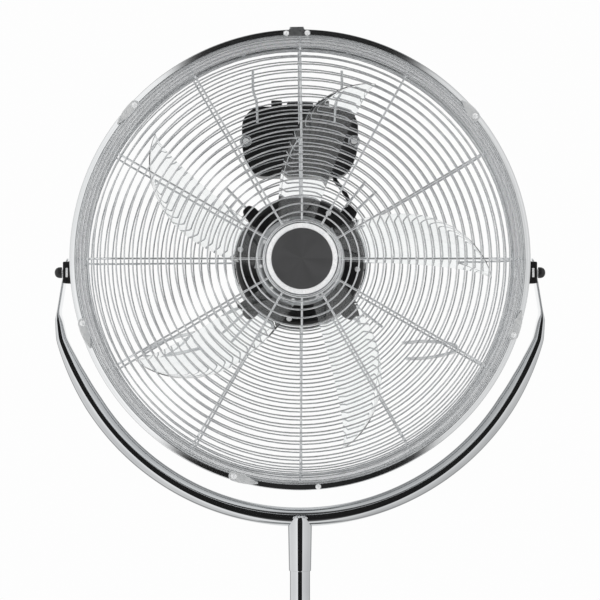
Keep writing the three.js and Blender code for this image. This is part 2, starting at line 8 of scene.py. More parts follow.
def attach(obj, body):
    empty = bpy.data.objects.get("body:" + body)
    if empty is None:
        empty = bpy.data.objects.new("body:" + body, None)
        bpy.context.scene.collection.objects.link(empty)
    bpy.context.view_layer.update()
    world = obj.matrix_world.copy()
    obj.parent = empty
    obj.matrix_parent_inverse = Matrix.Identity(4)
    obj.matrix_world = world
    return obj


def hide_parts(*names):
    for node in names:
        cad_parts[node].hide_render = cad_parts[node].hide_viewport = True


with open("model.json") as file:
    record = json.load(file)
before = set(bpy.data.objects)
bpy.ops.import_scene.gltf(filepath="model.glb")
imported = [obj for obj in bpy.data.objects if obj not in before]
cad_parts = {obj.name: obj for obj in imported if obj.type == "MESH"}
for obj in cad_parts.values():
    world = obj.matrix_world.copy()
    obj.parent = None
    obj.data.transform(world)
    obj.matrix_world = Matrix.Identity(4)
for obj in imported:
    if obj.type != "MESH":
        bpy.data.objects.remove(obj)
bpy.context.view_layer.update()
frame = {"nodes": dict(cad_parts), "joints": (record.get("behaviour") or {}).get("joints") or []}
print("frame loaded,", len(frame["nodes"]), "parts")

# Sizes are in millimetres, from the fan's axis or the named centre. X is right, Y is back, Z is up.
mm = 0.001
joints = {joint["name"]: joint for joint in frame["joints"]}
fanCentre = np.array(joints["fan_spin"]["pos_m"]) / mm
tiltCentre = np.array(joints["head_tilt"]["pos_m"]) / mm
floorCentre = np.zeros(3)


def gridSurface(points, closedU=False, closedV=True, tips=(None, None)):
    # Point (i, j) of the grid joins its neighbours (i + 1, j) and (i, j + 1). A closed direction wraps round,
    # and a tip closes that end with a fan to one point. UV is the length walked along and across the grid.
    rows, columns = points.shape[:2]
    cells = np.arange(rows - (not closedU)), np.arange(columns - (not closedV))
    i, j = (each.ravel() for each in np.meshgrid(*cells, indexing="ij"))
    iNext, jNext = (i + 1) % rows, (j + 1) % columns
    near, far = i * columns, iNext * columns
    quads = np.stack([near + j, far + j, far + jNext, near + jNext], 1)
    stepsU = np.linalg.norm(np.roll(points, -1, 0) - points, axis=2).mean(1)
    stepsV = np.linalg.norm(np.roll(points, -1, 1) - points, axis=2).mean(0)
    u = np.concatenate([[0], np.cumsum(stepsU)])
    v = np.concatenate([[0], np.cumsum(stepsV)])
    quadUv = np.stack([
        np.stack([u[i], v[j]], 1), np.stack([u[i + 1], v[j]], 1),
        np.stack([u[i + 1], v[j + 1]], 1), np.stack([u[i], v[j + 1]], 1),
    ], 1)
    flat = points.reshape(-1, 3)
    fans, fanUv = [], []
    for row, tip in zip((0, rows - 1), tips):
        if tip is None:
            continue
        centre = len(flat)
        flat = np.vstack([flat, points[row].mean(0) if isinstance(tip, str) else tip])
        j = np.arange(columns)
        around = row * columns + j
        fans.append(np.stack([np.full(columns, centre), np.roll(around, -1), around], 1))
        if row:
            fans[-1] = fans[-1][:, ::-1]
        spots = ((v[j] + v[j + 1]) / 2, v[j + 1], v[j])
        fanUv.append(np.stack([np.stack([np.full(columns, u[row]), spot], 1) for spot in spots], 1))
    triangles = np.vstack(fans) if fans else np.zeros((0, 3), int)
    triangleUv = np.vstack(fanUv) if fans else np.zeros((0, 3, 2))
    return facingOut({"points": flat, "quads": quads, "quadUv": quadUv,
                      "triangles": triangles, "triangleUv": triangleUv})


def facingOut(surface):
    # The signed volume is the sum of a . (b x c) / 6 over the triangles: a negative one means the faces look
    # inwards.
    corner = surface["points"] - surface["points"].mean(0)
    quads = surface["quads"]
    halves = np.vstack([quads[:, [0, 1, 2]], quads[:, [0, 2, 3]], surface["triangles"]])
    a, b, c = corner[halves[:, 0]], corner[halves[:, 1]], corner[halves[:, 2]]
    if np.einsum("ij,ij->i", a, np.cross(b, c)).sum() < 0:
        for key in ("quads", "quadUv", "triangles", "triangleUv"):
            surface[key] = surface[key][:, ::-1]
    return surface


def joined(*surfaces):
    # Several surfaces as one, each keeping its own faces.
    offsets = np.cumsum([0] + [len(surface["points"]) for surface in surfaces])
    whole = {"points": np.vstack([surface["points"] for surface in surfaces])}
    for key in ("quads", "triangles"):
        whole[key] = np.vstack([surface[key] + offset for surface, offset in zip(surfaces, offsets)])
    for key in ("quadUv", "triangleUv"):
        whole[key] = np.concatenate([surface[key] for surface in surfaces])
    return whole


def placed(surface, axis="Y", angle=0.0, move=(0, 0, 0)):
    # Turned about an axis through the origin, then moved. About Y, a positive angle is anticlockwise from
    # the front.
    sign = -1 if axis == "Y" else 1
    turned = np.array(Matrix.Rotation(sign * np.radians(angle), 3, axis))
    return {**surface, "points": surface["points"] @ turned.T + np.array(move, float)}


def mirrored(surface):
    # The same surface on the other side of X = 0, with its faces turned round to look outwards again.
    other = {**surface, "points": surface["points"] * [-1, 1, 1]}
    for key in ("quads", "quadUv", "triangles", "triangleUv"):
        other[key] = surface[key][:, ::-1]
    return other


def softCorners(profile, size, steps=4, closed=True):
    # Each corner P becomes the curve (1 - t)^2 A + 2t(1 - t) P + t^2 B between two points near it on its
    # sides, and one more point a little further along each side keeps the flats flat.
    corner = np.array(profile, float)
    before, after = np.roll(corner, 1, 0) - corner, np.roll(corner, -1, 0) - corner
    lengths = [np.linalg.norm(side, axis=1, keepdims=True) for side in (before, after)]
    reach = np.minimum(size, 0.4 * np.minimum(*lengths))
    a, b = corner + before / lengths[0] * reach, corner + after / lengths[1] * reach
    t = np.linspace(0, 1, steps)[None, :, None]
    curve = (1 - t) ** 2 * a[:, None] + 2 * t * (1 - t) * corner[:, None] + t**2 * b[:, None]
    hold = [corner + side / length * np.minimum(1.6 * reach, 0.45 * length)
            for side, length in zip((before, after), lengths)]
    curve = np.concatenate([hold[0][:, None], curve, hold[1][:, None]], 1)
    if closed:
        return curve.reshape(-1, 2)
    return np.vstack([corner[:1], curve[1:-1].reshape(-1, 2), corner[-1:]])


def turnedSurface(profile, axis="Y", steps=96, closed=True, ripple=None):
    # Radius and height carried round an axis: (r cos t, r sin t) across it and h along it.
    # A ripple of (count, depth) takes depth * (1 + cos(count t)) / 2 off the widest radius.
    profile = np.array(profile, float)
    tips = (None, None)
    if not closed:
        tips = tuple(profile[end] if profile[end][0] < 1e-6 else None for end in (0, -1))
        profile = profile[(tips[0] is not None): len(profile) - (tips[1] is not None)]
    t = np.linspace(0, 2 * np.pi, steps, endpoint=False)
    radius = profile[:, :1] * np.ones(steps)
    if ripple:
        count, depth = ripple
        weight = np.clip((radius / radius.max() - 0.75) / 0.2, 0, 1)
        radius = radius - depth * (1 + np.cos(count * t)) / 2 * weight
    height = profile[:, 1:] * np.ones(steps)
    across, up = radius * np.cos(t), radius * np.sin(t)
    order = {"X": (height, across, up), "Y": (across, height, up), "Z": (across, up, height)}[axis]
    spot = "XYZ".index(axis)
    tips = tuple(None if tip is None else np.eye(3)[spot] * tip[1] for tip in tips)
    return gridSurface(np.stack(order, 2), closedU=closed, tips=tips)


def carriedSurface(path, section, up, closed=False):
    # A section of (side, lift) offsets carried along a path: side = tangent x up, lift = side x tangent.
    path = np.array(path, float)
    if closed:
        tangent = np.roll(path, -1, 0) - np.roll(path, 1, 0)
    else:
        tangent = np.gradient(path, axis=0)
    tangent /= np.linalg.norm(tangent, axis=1, keepdims=True)
    side = np.cross(tangent, np.broadcast_to(np.array(up, float), tangent.shape))
    side /= np.linalg.norm(side, axis=1, keepdims=True)
    lift = np.cross(side, tangent)
    section = np.broadcast_to(section, (len(path),) + np.shape(section)[-2:])
    points = path[:, None] + section[..., :1] * side[:, None] + section[..., 1:] * lift[:, None]
    return gridSurface(points, closedU=closed, tips=(None, None) if closed else ("middle", "middle"))


def roundSection(radius, sides=8):
    # (r cos t, r sin t)
    t = np.linspace(0, 2 * np.pi, sides, endpoint=False)
    return radius * np.stack([np.cos(t), np.sin(t)], 1)


def smoothPath(points, steps):
    # A cubic through the points: between P1 and P2 the slopes are (P2 - P0) / 2 and (P3 - P1) / 2.
    points = np.array(points, float)
    padded = np.vstack([2 * points[0] - points[1], points, 2 * points[-1] - points[-2]])
    t = np.linspace(0, len(points) - 1 - 1e-9, steps)
    k = t.astype(int)
    f = (t - k)[:, None]
    p0, p1, p2, p3 = padded[k], padded[k + 1], padded[k + 2], padded[k + 3]
    bend = p0 - 2.5 * p1 + 2 * p2 - p3 / 2
    twist = 1.5 * (p1 - p2) + (p3 - p0) / 2
    return p1 + f * (p2 - p0) / 2 + f**2 * bend + f**3 * twist


def plateSurface(outline, front, back, edge, plane="XZ"):
    # A closed outline given thickness. Row k is the outline moved inwards by edge * (1 - sin a) at depth
    # front + edge * (1 - cos a) while a goes from 0 to 90 degrees, and the same in reverse at the back.
    outline = np.array(outline, float)
    along = np.roll(outline, -1, 0) - np.roll(outline, 1, 0)
    x, z = outline.T
    area = np.sum(x * np.roll(z, -1) - np.roll(x, -1) * z)
    outwards = np.stack([along[:, 1], -along[:, 0]], 1) * np.sign(area)
    outwards /= np.linalg.norm(outwards, axis=1, keepdims=True)
    a = np.linspace(0, np.pi / 2, 4)
    inset = np.concatenate([[2.2 * edge], edge * (1 - np.sin(a))])
    depth = np.concatenate([[0], edge * (1 - np.cos(a))])
    inset = np.concatenate([inset, inset[::-1]])[:, None, None]
    depth = np.concatenate([front + depth, (back - depth)[::-1]])[:, None]
    flat = outline - inset * outwards
    depth = np.broadcast_to(depth, flat.shape[:2])
    order = {"XZ": (flat[..., 0], depth, flat[..., 1]), "XY": (flat[..., 0], flat[..., 1], depth),
             "YZ": (depth, flat[..., 0], flat[..., 1])}[plane]
    return gridSurface(np.stack(order, 2), tips=("middle", "middle"))


def roundedBox(left, low, right, high, corner, steps=6):
    # A rectangle's outline with its corners rounded.
    return softCorners([[left, low], [right, low], [right, high], [left, high]], corner, steps)


def makeObject(name, surface, finish, centre=floorCentre, crease=35):
    # The surface, or several with their own finishes, becomes one mesh in metres.
    surfaces = surface if isinstance(surface, list) else [surface]
    finishNames = finish if isinstance(finish, list) else [finish]
    whole = joined(*surfaces)
    mesh = bpy.data.meshes.new(name)
    points = (whole["points"] + centre) * mm
    corners = np.concatenate([whole["quads"].ravel(), whole["triangles"].ravel()])
    starts = np.concatenate([np.arange(len(whole["quads"])) * 4,
                             len(whole["quads"]) * 4 + np.arange(len(whole["triangles"])) * 3])
    uv = np.concatenate([whole["quadUv"].reshape(-1, 2), whole["triangleUv"].reshape(-1, 2)]) * mm
    used = [np.concatenate([np.full(len(part[key]), index) for index, part in enumerate(surfaces)])
            for key in ("quads", "triangles")]
    mesh.vertices.add(len(points))
    mesh.vertices.foreach_set("co", points.ravel())
    mesh.loops.add(len(corners))
    mesh.loops.foreach_set("vertex_index", corners)
    mesh.polygons.add(len(starts))
    mesh.polygons.foreach_set("loop_start", starts)
    mesh.polygons.foreach_set("material_index", np.concatenate(used).astype(int))
    mesh.polygons.foreach_set("use_smooth", np.ones(len(starts), bool))
    mesh.uv_layers.new(name="UVMap").data.foreach_set("uv", uv.ravel())
    mesh.update(calc_edges=True)
    mesh.validate()
    mesh.set_sharp_from_angle(angle=np.radians(crease))
    for each in finishNames * (len(surfaces) if len(finishNames) == 1 else 1):
        mesh.materials.append(finishes[each])
    piece = bpy.data.objects.new(name, mesh)
    bpy.context.scene.collection.objects.link(piece)
    return piece


def addPiece(name, body, surface, finish, centre=floorCentre, replaces=(), crease=35):
    # A piece rides on a body and stands for the parts that it replaces.
    piece = makeObject(name, surface, finish, centre, crease)
    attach(piece, body)
    if replaces:
        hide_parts(*replaces)


def linear(code):
    # sRGB to linear light: c / 12.92 in the darkest part, ((c + 0.055) / 1.055)^2.4 above it.
    c = np.array([int(code[i:i + 2], 16) for i in (1, 3, 5)]) / 255
    return (*np.where(c <= 0.04045, c / 12.92, ((c + 0.055) / 1.055) ** 2.4).tolist(), 1.0)


def addNode(tree, kind, settings=None, values=None, links=None):
    node = tree.nodes.new("ShaderNode" + kind)
    for name, value in (settings or {}).items():
        setattr(node, name, value)
    for socket, value in (values or {}).items():
        node.inputs[socket].default_value = value
    for socket, source in (links or {}).items():
        tree.links.new(source, node.inputs[socket])
    return node


def makeFinish(name, look):
    # Tone drifts between two colours over patches, gloss varies with a finer grain, and a relief bends the
    # highlights. Sizes are the real spacing of each pattern in millimetres, the same every way or one for
    # each of the three directions it follows.
    material = bpy.data.materials.new(name)
    material.use_nodes = True
    tree = material.node_tree
    shader = tree.nodes["Principled BSDF"]
    for socket, value in look["shader"].items():
        shader.inputs[socket].default_value = value
    place = addNode(tree, "TexCoord").outputs[look.get("follows", "Object")]

    def pattern(size, kind="TexNoise", settings=None, values=None):
        scale = [1 / (mm * float(each)) for each in np.broadcast_to(size, 3)]
        spot = addNode(tree, "Mapping", values={"Scale": scale}, links={"Vector": place})
        return addNode(tree, kind, settings, {"Scale": 1.0, **(values or {})},
                       {"Vector": spot.outputs["Vector"]}).outputs[0]

    patches = addNode(tree, "MapRange", {"interpolation_type": "SMOOTHSTEP"},
                      {"From Min": 0.32, "From Max": 0.68},
                      {"Value": pattern(look["patch"], values={"Detail": 3.0})})
    pale, deep = (linear(tone) for tone in look["tones"])
    tone = addNode(tree, "Mix", {"data_type": "RGBA"}, {6: pale, 7: deep}, {0: patches.outputs["Result"]})
    tree.links.new(tone.outputs[2], shader.inputs["Base Color"])
    low, high = look["gloss"]
    gloss = addNode(tree, "MapRange", {},
                    {"From Min": 0.3, "From Max": 0.7, "To Min": low, "To Max": high},
                    {"Value": pattern(look["grain"], values={"Detail": 5.0})})
    tree.links.new(gloss.outputs["Result"], shader.inputs["Roughness"])
    relief = look["relief"]
    if relief.get("kind") == "pits":
        height = pattern(relief["size"], "TexVoronoi", {"feature": "SMOOTH_F1"}, {"Smoothness": 0.6})
    else:
        height = pattern(relief["size"], values={"Detail": relief.get("detail", 2.0)})
    bump = addNode(tree, "Bump", {}, {"Strength": relief["strength"], "Distance": relief["depth"] * mm},
                   {"Height": height})
    tree.links.new(bump.outputs["Normal"], shader.inputs["Normal"])
    return material


looks = {
    # chrome plate over buffed steel: a true mirror with faint waves left by the buffing wheel and a trace of
    # handling
    "chromePlate": {
        "slot": "chrome", "tones": ["#e2e4e5", "#d9dbdd"], "patch": 60, "gloss": [0.02, 0.055], "grain": 9,
        "relief": {"size": 26, "strength": 0.06, "depth": 0.25, "detail": 1.0}, "shader": {"Metallic": 1.0}},
    # the same plate over drawn sheet, with fine lines round the band from rolling, drawn 0.9 mm apart so that
    # they show
    "rolledChrome": {
        "slot": "chrome", "tones": ["#f0f1f2", "#e0e2e3"], "patch": [2.2, 300, 1], "gloss": [0.06, 0.12],
        "grain": [0.9, 160, 1], "follows": "UV",
        "relief": {"size": [0.9, 240, 1], "strength": 0.1, "depth": 0.06}, "shader": {"Metallic": 1.0}},
    # chrome over drawn wire: bright, with soft lengthways die lines and slightly dull weld heat near joints
    "chromeWire": {
        "slot": "chrome_wire", "tones": ["#f0f2f3", "#dfe1e3"], "patch": 14, "gloss": [0.08, 0.2],
        "grain": [12, 0.7, 1], "follows": "UV",
        "relief": {"size": [30, 0.9, 1], "strength": 0.15, "depth": 0.05}, "shader": {"Metallic": 0.75}},
    # clear moulded SAN plastic: nearly invisible against a pale wall, a grey veil of reflections over dark
    # parts, and soft flow waves about 14 mm apart along the blade from the mould
    "clearSan": {
        "slot": "blade_clear", "tones": ["#fcfdfd", "#f6f8f8"], "patch": [60, 12, 1], "gloss": [0.01, 0.04],
        "grain": [40, 6, 1], "follows": "UV",
        "relief": {"size": [60, 14, 1], "strength": 0.12, "depth": 0.3, "detail": 1.0},
        "shader": {"IOR": 1.57, "Transmission Weight": 1.0}},
    # chrome over a bead-blasted surface: pale, even and satin, so that it stays light from every side
    "satinChrome": {
        "slot": "chrome", "tones": ["#f2f3f3", "#e3e5e6"], "patch": 6, "gloss": [0.3, 0.4], "grain": 1.4,
        "relief": {"size": 0.8, "strength": 0.1, "depth": 0.03}, "shader": {"Metallic": 0.4}},
    # the same plate with a pearl finish on the badge's ring: nearly white, with a faint soft shine
    "pearlChrome": {
        "slot": "chrome", "tones": ["#fbfbfb", "#f0f1f2"], "patch": 5, "gloss": [0.24, 0.34], "grain": 1.4,
        "relief": {"size": 0.8, "strength": 0.08, "depth": 0.03}, "shader": {"Metallic": 0.12}},
    # the inside of the band, never buffed: pale grey plate with a dull even shine and soft lines from rolling
    "dullPlate": {
        "tones": ["#eeeff0", "#e3e4e6"], "patch": [3, 300, 1], "gloss": [0.42, 0.48],
        "grain": [1.2, 200, 1], "follows": "UV",
        "relief": {"size": [1.5, 260, 1], "strength": 0.03, "depth": 0.05}, "shader": {"Metallic": 0.3}},
    # pressed steel, zinc plated and tumbled: mid grey with a soft blurred shine and small handling marks
    "pressedSteel": {
        "slot": "hub_steel", "tones": ["#cdcfd0", "#b1b3b5"], "patch": 9, "gloss": [0.26, 0.42], "grain": 1.6,
        "relief": {"size": 1.2, "strength": 0.12, "depth": 0.05}, "shader": {"Metallic": 1.0}},
    # bright zinc on machine screws under a chalky clear passivate: pale grey spangle, patchy over a few
    # millimetres
    "brightZinc": {
        "slot": "zinc_steel", "tones": ["#f8f8f8", "#e6e8e9"], "patch": 3, "gloss": [0.14, 0.26],
        "grain": 1.2, "relief": {"size": 1.5, "strength": 0.12, "depth": 0.04}, "shader": {"Metallic": 0.12}},
    # injection moulded ABS with a fine eroded texture of about 0.6 mm: even black with a low broad sheen
    "mouldedAbs": {
        "slot": "black_plastic", "tones": ["#1b1b1c", "#141415"], "patch": 30, "gloss": [0.3, 0.42],
        "grain": 2.5, "relief": {"size": 0.6, "strength": 0.25, "depth": 0.05}, "shader": {"IOR": 1.52}},
    # dark grey nylon for the ribbed wheel and inner parts, slightly polished where fingers turn it
    "greyNylon": {
        "slot": "grey_plastic", "tones": ["#39393b", "#2c2c2e"], "patch": 12, "gloss": [0.28, 0.45],
        "grain": 2, "relief": {"size": 0.5, "strength": 0.2, "depth": 0.04}, "shader": {"IOR": 1.53}},
    # satin black enamel sprayed on the motor castings: a slight orange peel of about 2 mm under a thin gloss
    "blackEnamel": {
        "slot": "black_enamel", "tones": ["#121213", "#0c0c0d"], "patch": 24, "gloss": [0.26, 0.38],
        "grain": 4, "relief": {"size": 2, "strength": 0.2, "depth": 0.08},
        "shader": {"IOR": 1.5, "Coat Weight": 0.25, "Coat Roughness": 0.12}},
    # soft black PVC and rubber: matt, with a dusty bloom
    "blackRubber": {
        "slot": "black_rubber", "tones": ["#1d1d1e", "#131313"], "patch": 8, "gloss": [0.55, 0.75],
        "grain": 1.5, "relief": {"size": 0.8, "strength": 0.25, "depth": 0.06},
        "shader": {"IOR": 1.5, "Sheen Weight": 0.08}},
    # grey cast iron under thin black paint: sand pits of about 2.5 mm
    "castIron": {
        "tones": ["#2b2b2c", "#1c1c1d"], "patch": 12, "gloss": [0.5, 0.7], "grain": 3,
        "relief": {"kind": "pits", "size": 2.5, "strength": 0.5, "depth": 0.3}, "shader": {"Metallic": 0.4}},
    # sintered bronze bushes: dull gold, porous at about 0.8 mm, wet with oil
    "sinteredBronze": {
        "tones": ["#b58a52", "#8f6a3b"], "patch": 3, "gloss": [0.3, 0.5], "grain": 0.9,
        "relief": {"kind": "pits", "size": 0.8, "strength": 0.3, "depth": 0.08}, "shader": {"Metallic": 1.0}},
    # stacked electrical steel: dark grey sheets 0.5 mm thick across the motor's axis, drawn 1 mm apart so
    # that they show
    "laminations": {
        "tones": ["#7c7e80", "#55575a"], "patch": [400, 1, 400], "gloss": [0.35, 0.55], "grain": [6, 1, 6],
        "relief": {"size": [400, 1, 400], "strength": 0.4, "depth": 0.15}, "shader": {"Metallic": 1.0}},
    # dark anodised disc, spun on a lathe: rings about 0.8 mm apart under a clear lacquer
    "spunBadge": {
        "slot": "grey_plastic", "tones": ["#4b4b4c", "#434344"], "patch": 40, "gloss": [0.3, 0.4],
        "grain": [0.8, 300, 1], "follows": "UV",
        "relief": {"size": [0.8, 300, 1], "strength": 0.1, "depth": 0.03},
        "shader": {"IOR": 1.5, "Specular IOR Level": 0.4}},
    # matt studio floor paint with a faint roller texture
    "paleFloor": {
        "tones": ["#f1f1f1", "#eeeeee"], "patch": 900, "gloss": [0.75, 0.9], "grain": 60,
        "relief": {"size": 8, "strength": 0.05, "depth": 0.2}, "shader": {"Specular IOR Level": 0.1}},
}
finishes = {name: makeFinish(name, look) for name, look in looks.items()}
print("finishes made,", len(finishes))

base = {"radius": 200, "edgeThick": 1.5, "crownHigh": 44, "bore": 5.5, "hem": 3, "ringInner": 158,
        "ringOuter": 176, "ringHigh": 5.7}

coverOutside = np.array([[base["bore"], base["crownHigh"]], [24, base["crownHigh"]], [28, 43], [60, 36.4],
                         [90, 31.6], [130, 26], [165, 21.4], [184, 18.4], [194, 13.5], [199, 7],
                         [base["radius"], base["hem"]]], float)
coverInside = coverOutside[::-1] - [base["edgeThick"], base["edgeThick"]]
coverInside[0] = [base["radius"] - base["edgeThick"], base["hem"]]
coverInside[-1] = [base["bore"], base["crownHigh"] - base["edgeThick"]]
addPiece("base_cover_shell", "stand",
         turnedSurface(softCorners(np.vstack([coverOutside, coverInside]), 4, 3), "Z", 160),
         "chromePlate", replaces=["base_cover"], crease=50)
rubberRing = roundedBox(base["ringInner"], 0, base["ringOuter"], base["ringHigh"], 1.6, 5)
addPiece("base_rubber_foot", "stand", turnedSurface(rubberRing, "Z", 120), "blackRubber",
         replaces=["base_rubber_ring"])
socketProfile = [[15, 44.3], [25, 44.3], [25.4, 46], [25, 49], [20.5, 54], [18.6, 60], [18, 69], [17.2, 70],
                 [15, 70]]
addPiece("pole_socket_turned", "stand", turnedSurface(softCorners(socketProfile, 1.5, 4), "Z", 72),
         "chromePlate", replaces=["pole_socket"])

pole = {"lowerRadius": 14.6, "upperRadius": 11.6, "wall": 1.3, "lowerFoot": 44.3, "lowerTop": 486,
        "upperFoot": 300, "upperTop": 776}


def tubeSurface(radius, wall, low, high, steps=72):
    # A plain tube with its cut ends rounded over.
    ring = [[radius - wall, low], [radius, low], [radius, high], [radius - wall, high]]
    return turnedSurface(softCorners(ring, 0.5, 3), "Z", steps)


addPiece("lower_pole_tube", "stand",
         tubeSurface(pole["lowerRadius"], pole["wall"], pole["lowerFoot"], pole["lowerTop"]),
         "chromePlate", replaces=["lower_pole"])
addPiece("upper_pole_tube", "mast",
         tubeSurface(pole["upperRadius"], pole["wall"], pole["upperFoot"], pole["upperTop"]),
         "chromePlate", replaces=["upper_pole"])

clampHeight = joints["height_knob_turn"]["pos_m"][2] / mm
collar = {"lobes": 8, "lobeDepth": 2.8}
collarProfile = [[14.9, 452], [19, 452], [21, 455], [21, 462], [21.4, 462.5], [21.4, 463.5], [21, 464],
                 [21, 492], [20, 496.5], [17, 502], [15, 506], [12.1, 506], [12.1, 486.3], [14.9, 486.3]]
bossProfile = [[0, 15], [8.6, 15], [10, 20], [10, 30], [9, 31], [6, 31], [0, 30.4]]
addPiece("height_collar_moulded", "stand", joined(
    turnedSurface(softCorners(collarProfile, 1.2, 4), "Z", 72),
    placed(turnedSurface(softCorners(bossProfile, 0.8, 3, False), "X", 40, False), move=(0, 0, clampHeight)),
), "mouldedAbs", replaces=["height_collar"])
knobProfile = [[0, 31.5], [9, 31.5], [10, 34], [13, 35], [17.2, 36.5], [18.4, 38.5], [18.4, 48], [17, 51],
               [12, 52], [8, 51.4], [0, 51]]
addPiece("height_knob_moulded", "height_knob",
         placed(turnedSurface(softCorners(knobProfile, 1.0, 3, False), "X", 96, False,
                              (collar["lobes"], collar["lobeDepth"])), move=(0, 0, clampHeight)),
         "mouldedAbs", replaces=["height_knob"])
print("base and pole done")

yoke = {"arcRadius": 281.6, "tubeRadius": 11, "tabX": 270.3, "tabLean": 9.2, "tabHalf": 17, "tabThick": 1.4,
        "tabLow": -44, "roundFrom": -150}


def yokeSurface():
    # The centre line goes down the left tab, round the arc and up the right tab. The section is the
    # superellipse |side / w|^n + |lift / t|^n = 1: t grows from the flattened 1.4 to the tube's 11 while w
    # shrinks so that the tube's girth stays the same, and the tab's top ends in w = sqrt(half^2 - rise^2).
    lean, tube, topSteps = np.radians(yoke["tabLean"]), yoke["tubeRadius"], 14
    rise = np.concatenate([yoke["tabHalf"] * np.cos(np.linspace(0.06, np.pi / 2, topSteps)),
                           np.linspace(-3, yoke["tabLow"], 12)])
    tabPath = np.stack([-yoke["tabX"] + rise * np.sin(lean), rise * np.cos(lean)], 1)
    z = np.concatenate([np.linspace(-48, -58, 8), np.linspace(-62, yoke["roundFrom"], 26)])
    thick = np.interp(z, [yoke["roundFrom"], -123, -100, -77, -60, -54, -48],
                      [tube, 9.9, 8.3, 6.2, 4.7, 3.9, 2.0])
    outer = yoke["arcRadius"] + np.interp(z, [yoke["roundFrom"], -77, -54, -48], [tube, 9.6, 5.2, 2.4])
    ring = outer - thick
    blendPath = np.stack([-np.sqrt(ring**2 - z**2), z], 1)
    arc = np.linspace(np.arcsin(154 / yoke["arcRadius"]), np.pi / 2, 60)
    arcPath = yoke["arcRadius"] * np.stack([-np.cos(arc), -np.sin(arc)], 1)
    left = np.vstack([tabPath, blendPath, arcPath])
    lift = np.concatenate([np.full(len(rise), yoke["tabThick"]), thick, np.full(len(arc), float(tube))])
    flatness = np.clip((tube - lift) / (tube - yoke["tabThick"]), 0, 1)
    side = tube + (yoke["tabHalf"] - tube) * flatness**0.8
    side[:topSteps] = yoke["tabHalf"] * np.sin(np.linspace(0.06, np.pi / 2, topSteps))
    lift[:topSteps] *= np.clip(np.sin(np.linspace(0.35, np.pi / 2 + 0.6, topSteps)), 0, 1)
    power = 2 + 2.5 * flatness
    path = np.vstack([left, (left * [-1, 1])[-2::-1]])
    lift, side, power = (np.concatenate([each, each[-2::-1]]) for each in (lift, side, power))
    t = np.linspace(0, 2 * np.pi, 48, endpoint=False)
    curve = [np.sign(f(t)) * np.abs(f(t)) ** (2 / power[:, None]) for f in (np.cos, np.sin)]
    section = np.stack([lift[:, None] * curve[0], side[:, None] * curve[1]], 2)
    path = np.stack([path[:, 0], np.zeros(len(path)), path[:, 1]], 1)
    return carriedSurface(path, section, (0, 1, 0))


addPiece("yoke_tube", "yoke", yokeSurface(), "chromePlate", tiltCentre, ["yoke"], crease=40)

stem = {"bottom": 733.5, "bottomRadius": 12.8, "topRadius": 13.9}


def stemSurface():
    # A tapered sleeve whose top edge follows the yoke: its height over the yoke's centre line is
    # sqrt(tube^2 - depth^2) / 3, where depth is how far a point stands in front of or behind the yoke.
    t = np.linspace(0, 2 * np.pi, 96, endpoint=False)
    yokeLow = tiltCentre[2] - yoke["arcRadius"]
    share = np.concatenate([[0, 0, 0.01], np.linspace(0.03, 1, 24)])[:, None]
    radius = stem["bottomRadius"] + (stem["topRadius"] - stem["bottomRadius"]) * share
    radius = radius - np.array([1.2, 0.3, 0])[np.minimum(np.arange(27), 2)][:, None]
    radius = radius - 1.2 * np.clip((share - 0.9) / 0.1, 0, 1) ** 2
    edge = yokeLow + 1.5 - 7 * np.abs(np.cos(t)) ** 3
    height = stem["bottom"] + share * (edge - stem["bottom"])
    outside = np.stack([radius * np.cos(t), radius * np.sin(t), height], 2)
    inside = np.stack([(pole["upperRadius"] + 0.3) * np.cos(t) * np.ones((2, 1)),
                       (pole["upperRadius"] + 0.3) * np.sin(t) * np.ones((2, 1)),
                       np.stack([edge - 1, np.full(96, stem["bottom"])])], 2)
    return gridSurface(np.concatenate([outside, inside]), closedU=True)


def weldSurface():
    # A bead laid round the top edge of the sleeve, swelling and shrinking every 3 mm.
    t = np.linspace(0, 2 * np.pi, 160, endpoint=False)
    radius = stem["topRadius"] - 1.2
    height = tiltCentre[2] - yoke["arcRadius"] + 1.2 - 7 * np.abs(np.cos(t)) ** 3
    path = np.stack([radius * np.cos(t), radius * np.sin(t), height], 1)
    swell = 1.35 + 0.3 * np.cos(t * 27) + 0.2 * np.cos(t * 11 + 1)
    return carriedSurface(path, roundSection(1, 10) * swell[:, None, None], (0, 0, 1), True)


addPiece("yoke_stem_sleeve", "yoke", [stemSurface(), weldSurface()], "chromePlate",
         replaces=["yoke_stem"], crease=50)
print("yoke done")

pivot = {"blockHalf": 12.7, "blockInner": 254.6, "deep": 18.5, "cheekFrom": 262, "cheekTo": 271.6,
         "cheekThick": 1.2, "capFrom": 274.7, "capTo": 283.1, "capRadius": 6.4, "lean": 10.5,
         "stripFrom": 265.8, "stripTo": 268.3, "stripLow": -5.5, "stripHigh": 5}


def pivotBlock():
    # A wedge: the drum's side sets its inner corners and the leaning tab its outer ones. A cheek at the front
    # and one at the back reach over the tab's edges.
    slope = np.tan(np.radians(pivot["lean"]))
    face = -yoke["tabX"] + 2.0
    half, deep, thick = pivot["blockHalf"], pivot["deep"], pivot["cheekThick"]
    outline = softCorners([
        [-pivot["blockInner"], -half], [face - slope * half, -half], [face + slope * half, half],
        [-pivot["blockInner"], half],
    ], 1.4, 5)
    cheek = roundedBox(-pivot["cheekTo"], -half + 0.4, -pivot["cheekFrom"], half - 0.4, 1.6, 5)
    return joined(plateSurface(outline, -deep + 0.3, deep - 0.3, 1.0),
                  plateSurface(cheek, -deep, -deep + thick, 0.45),
                  plateSurface(cheek, deep - thick, deep, 0.45))


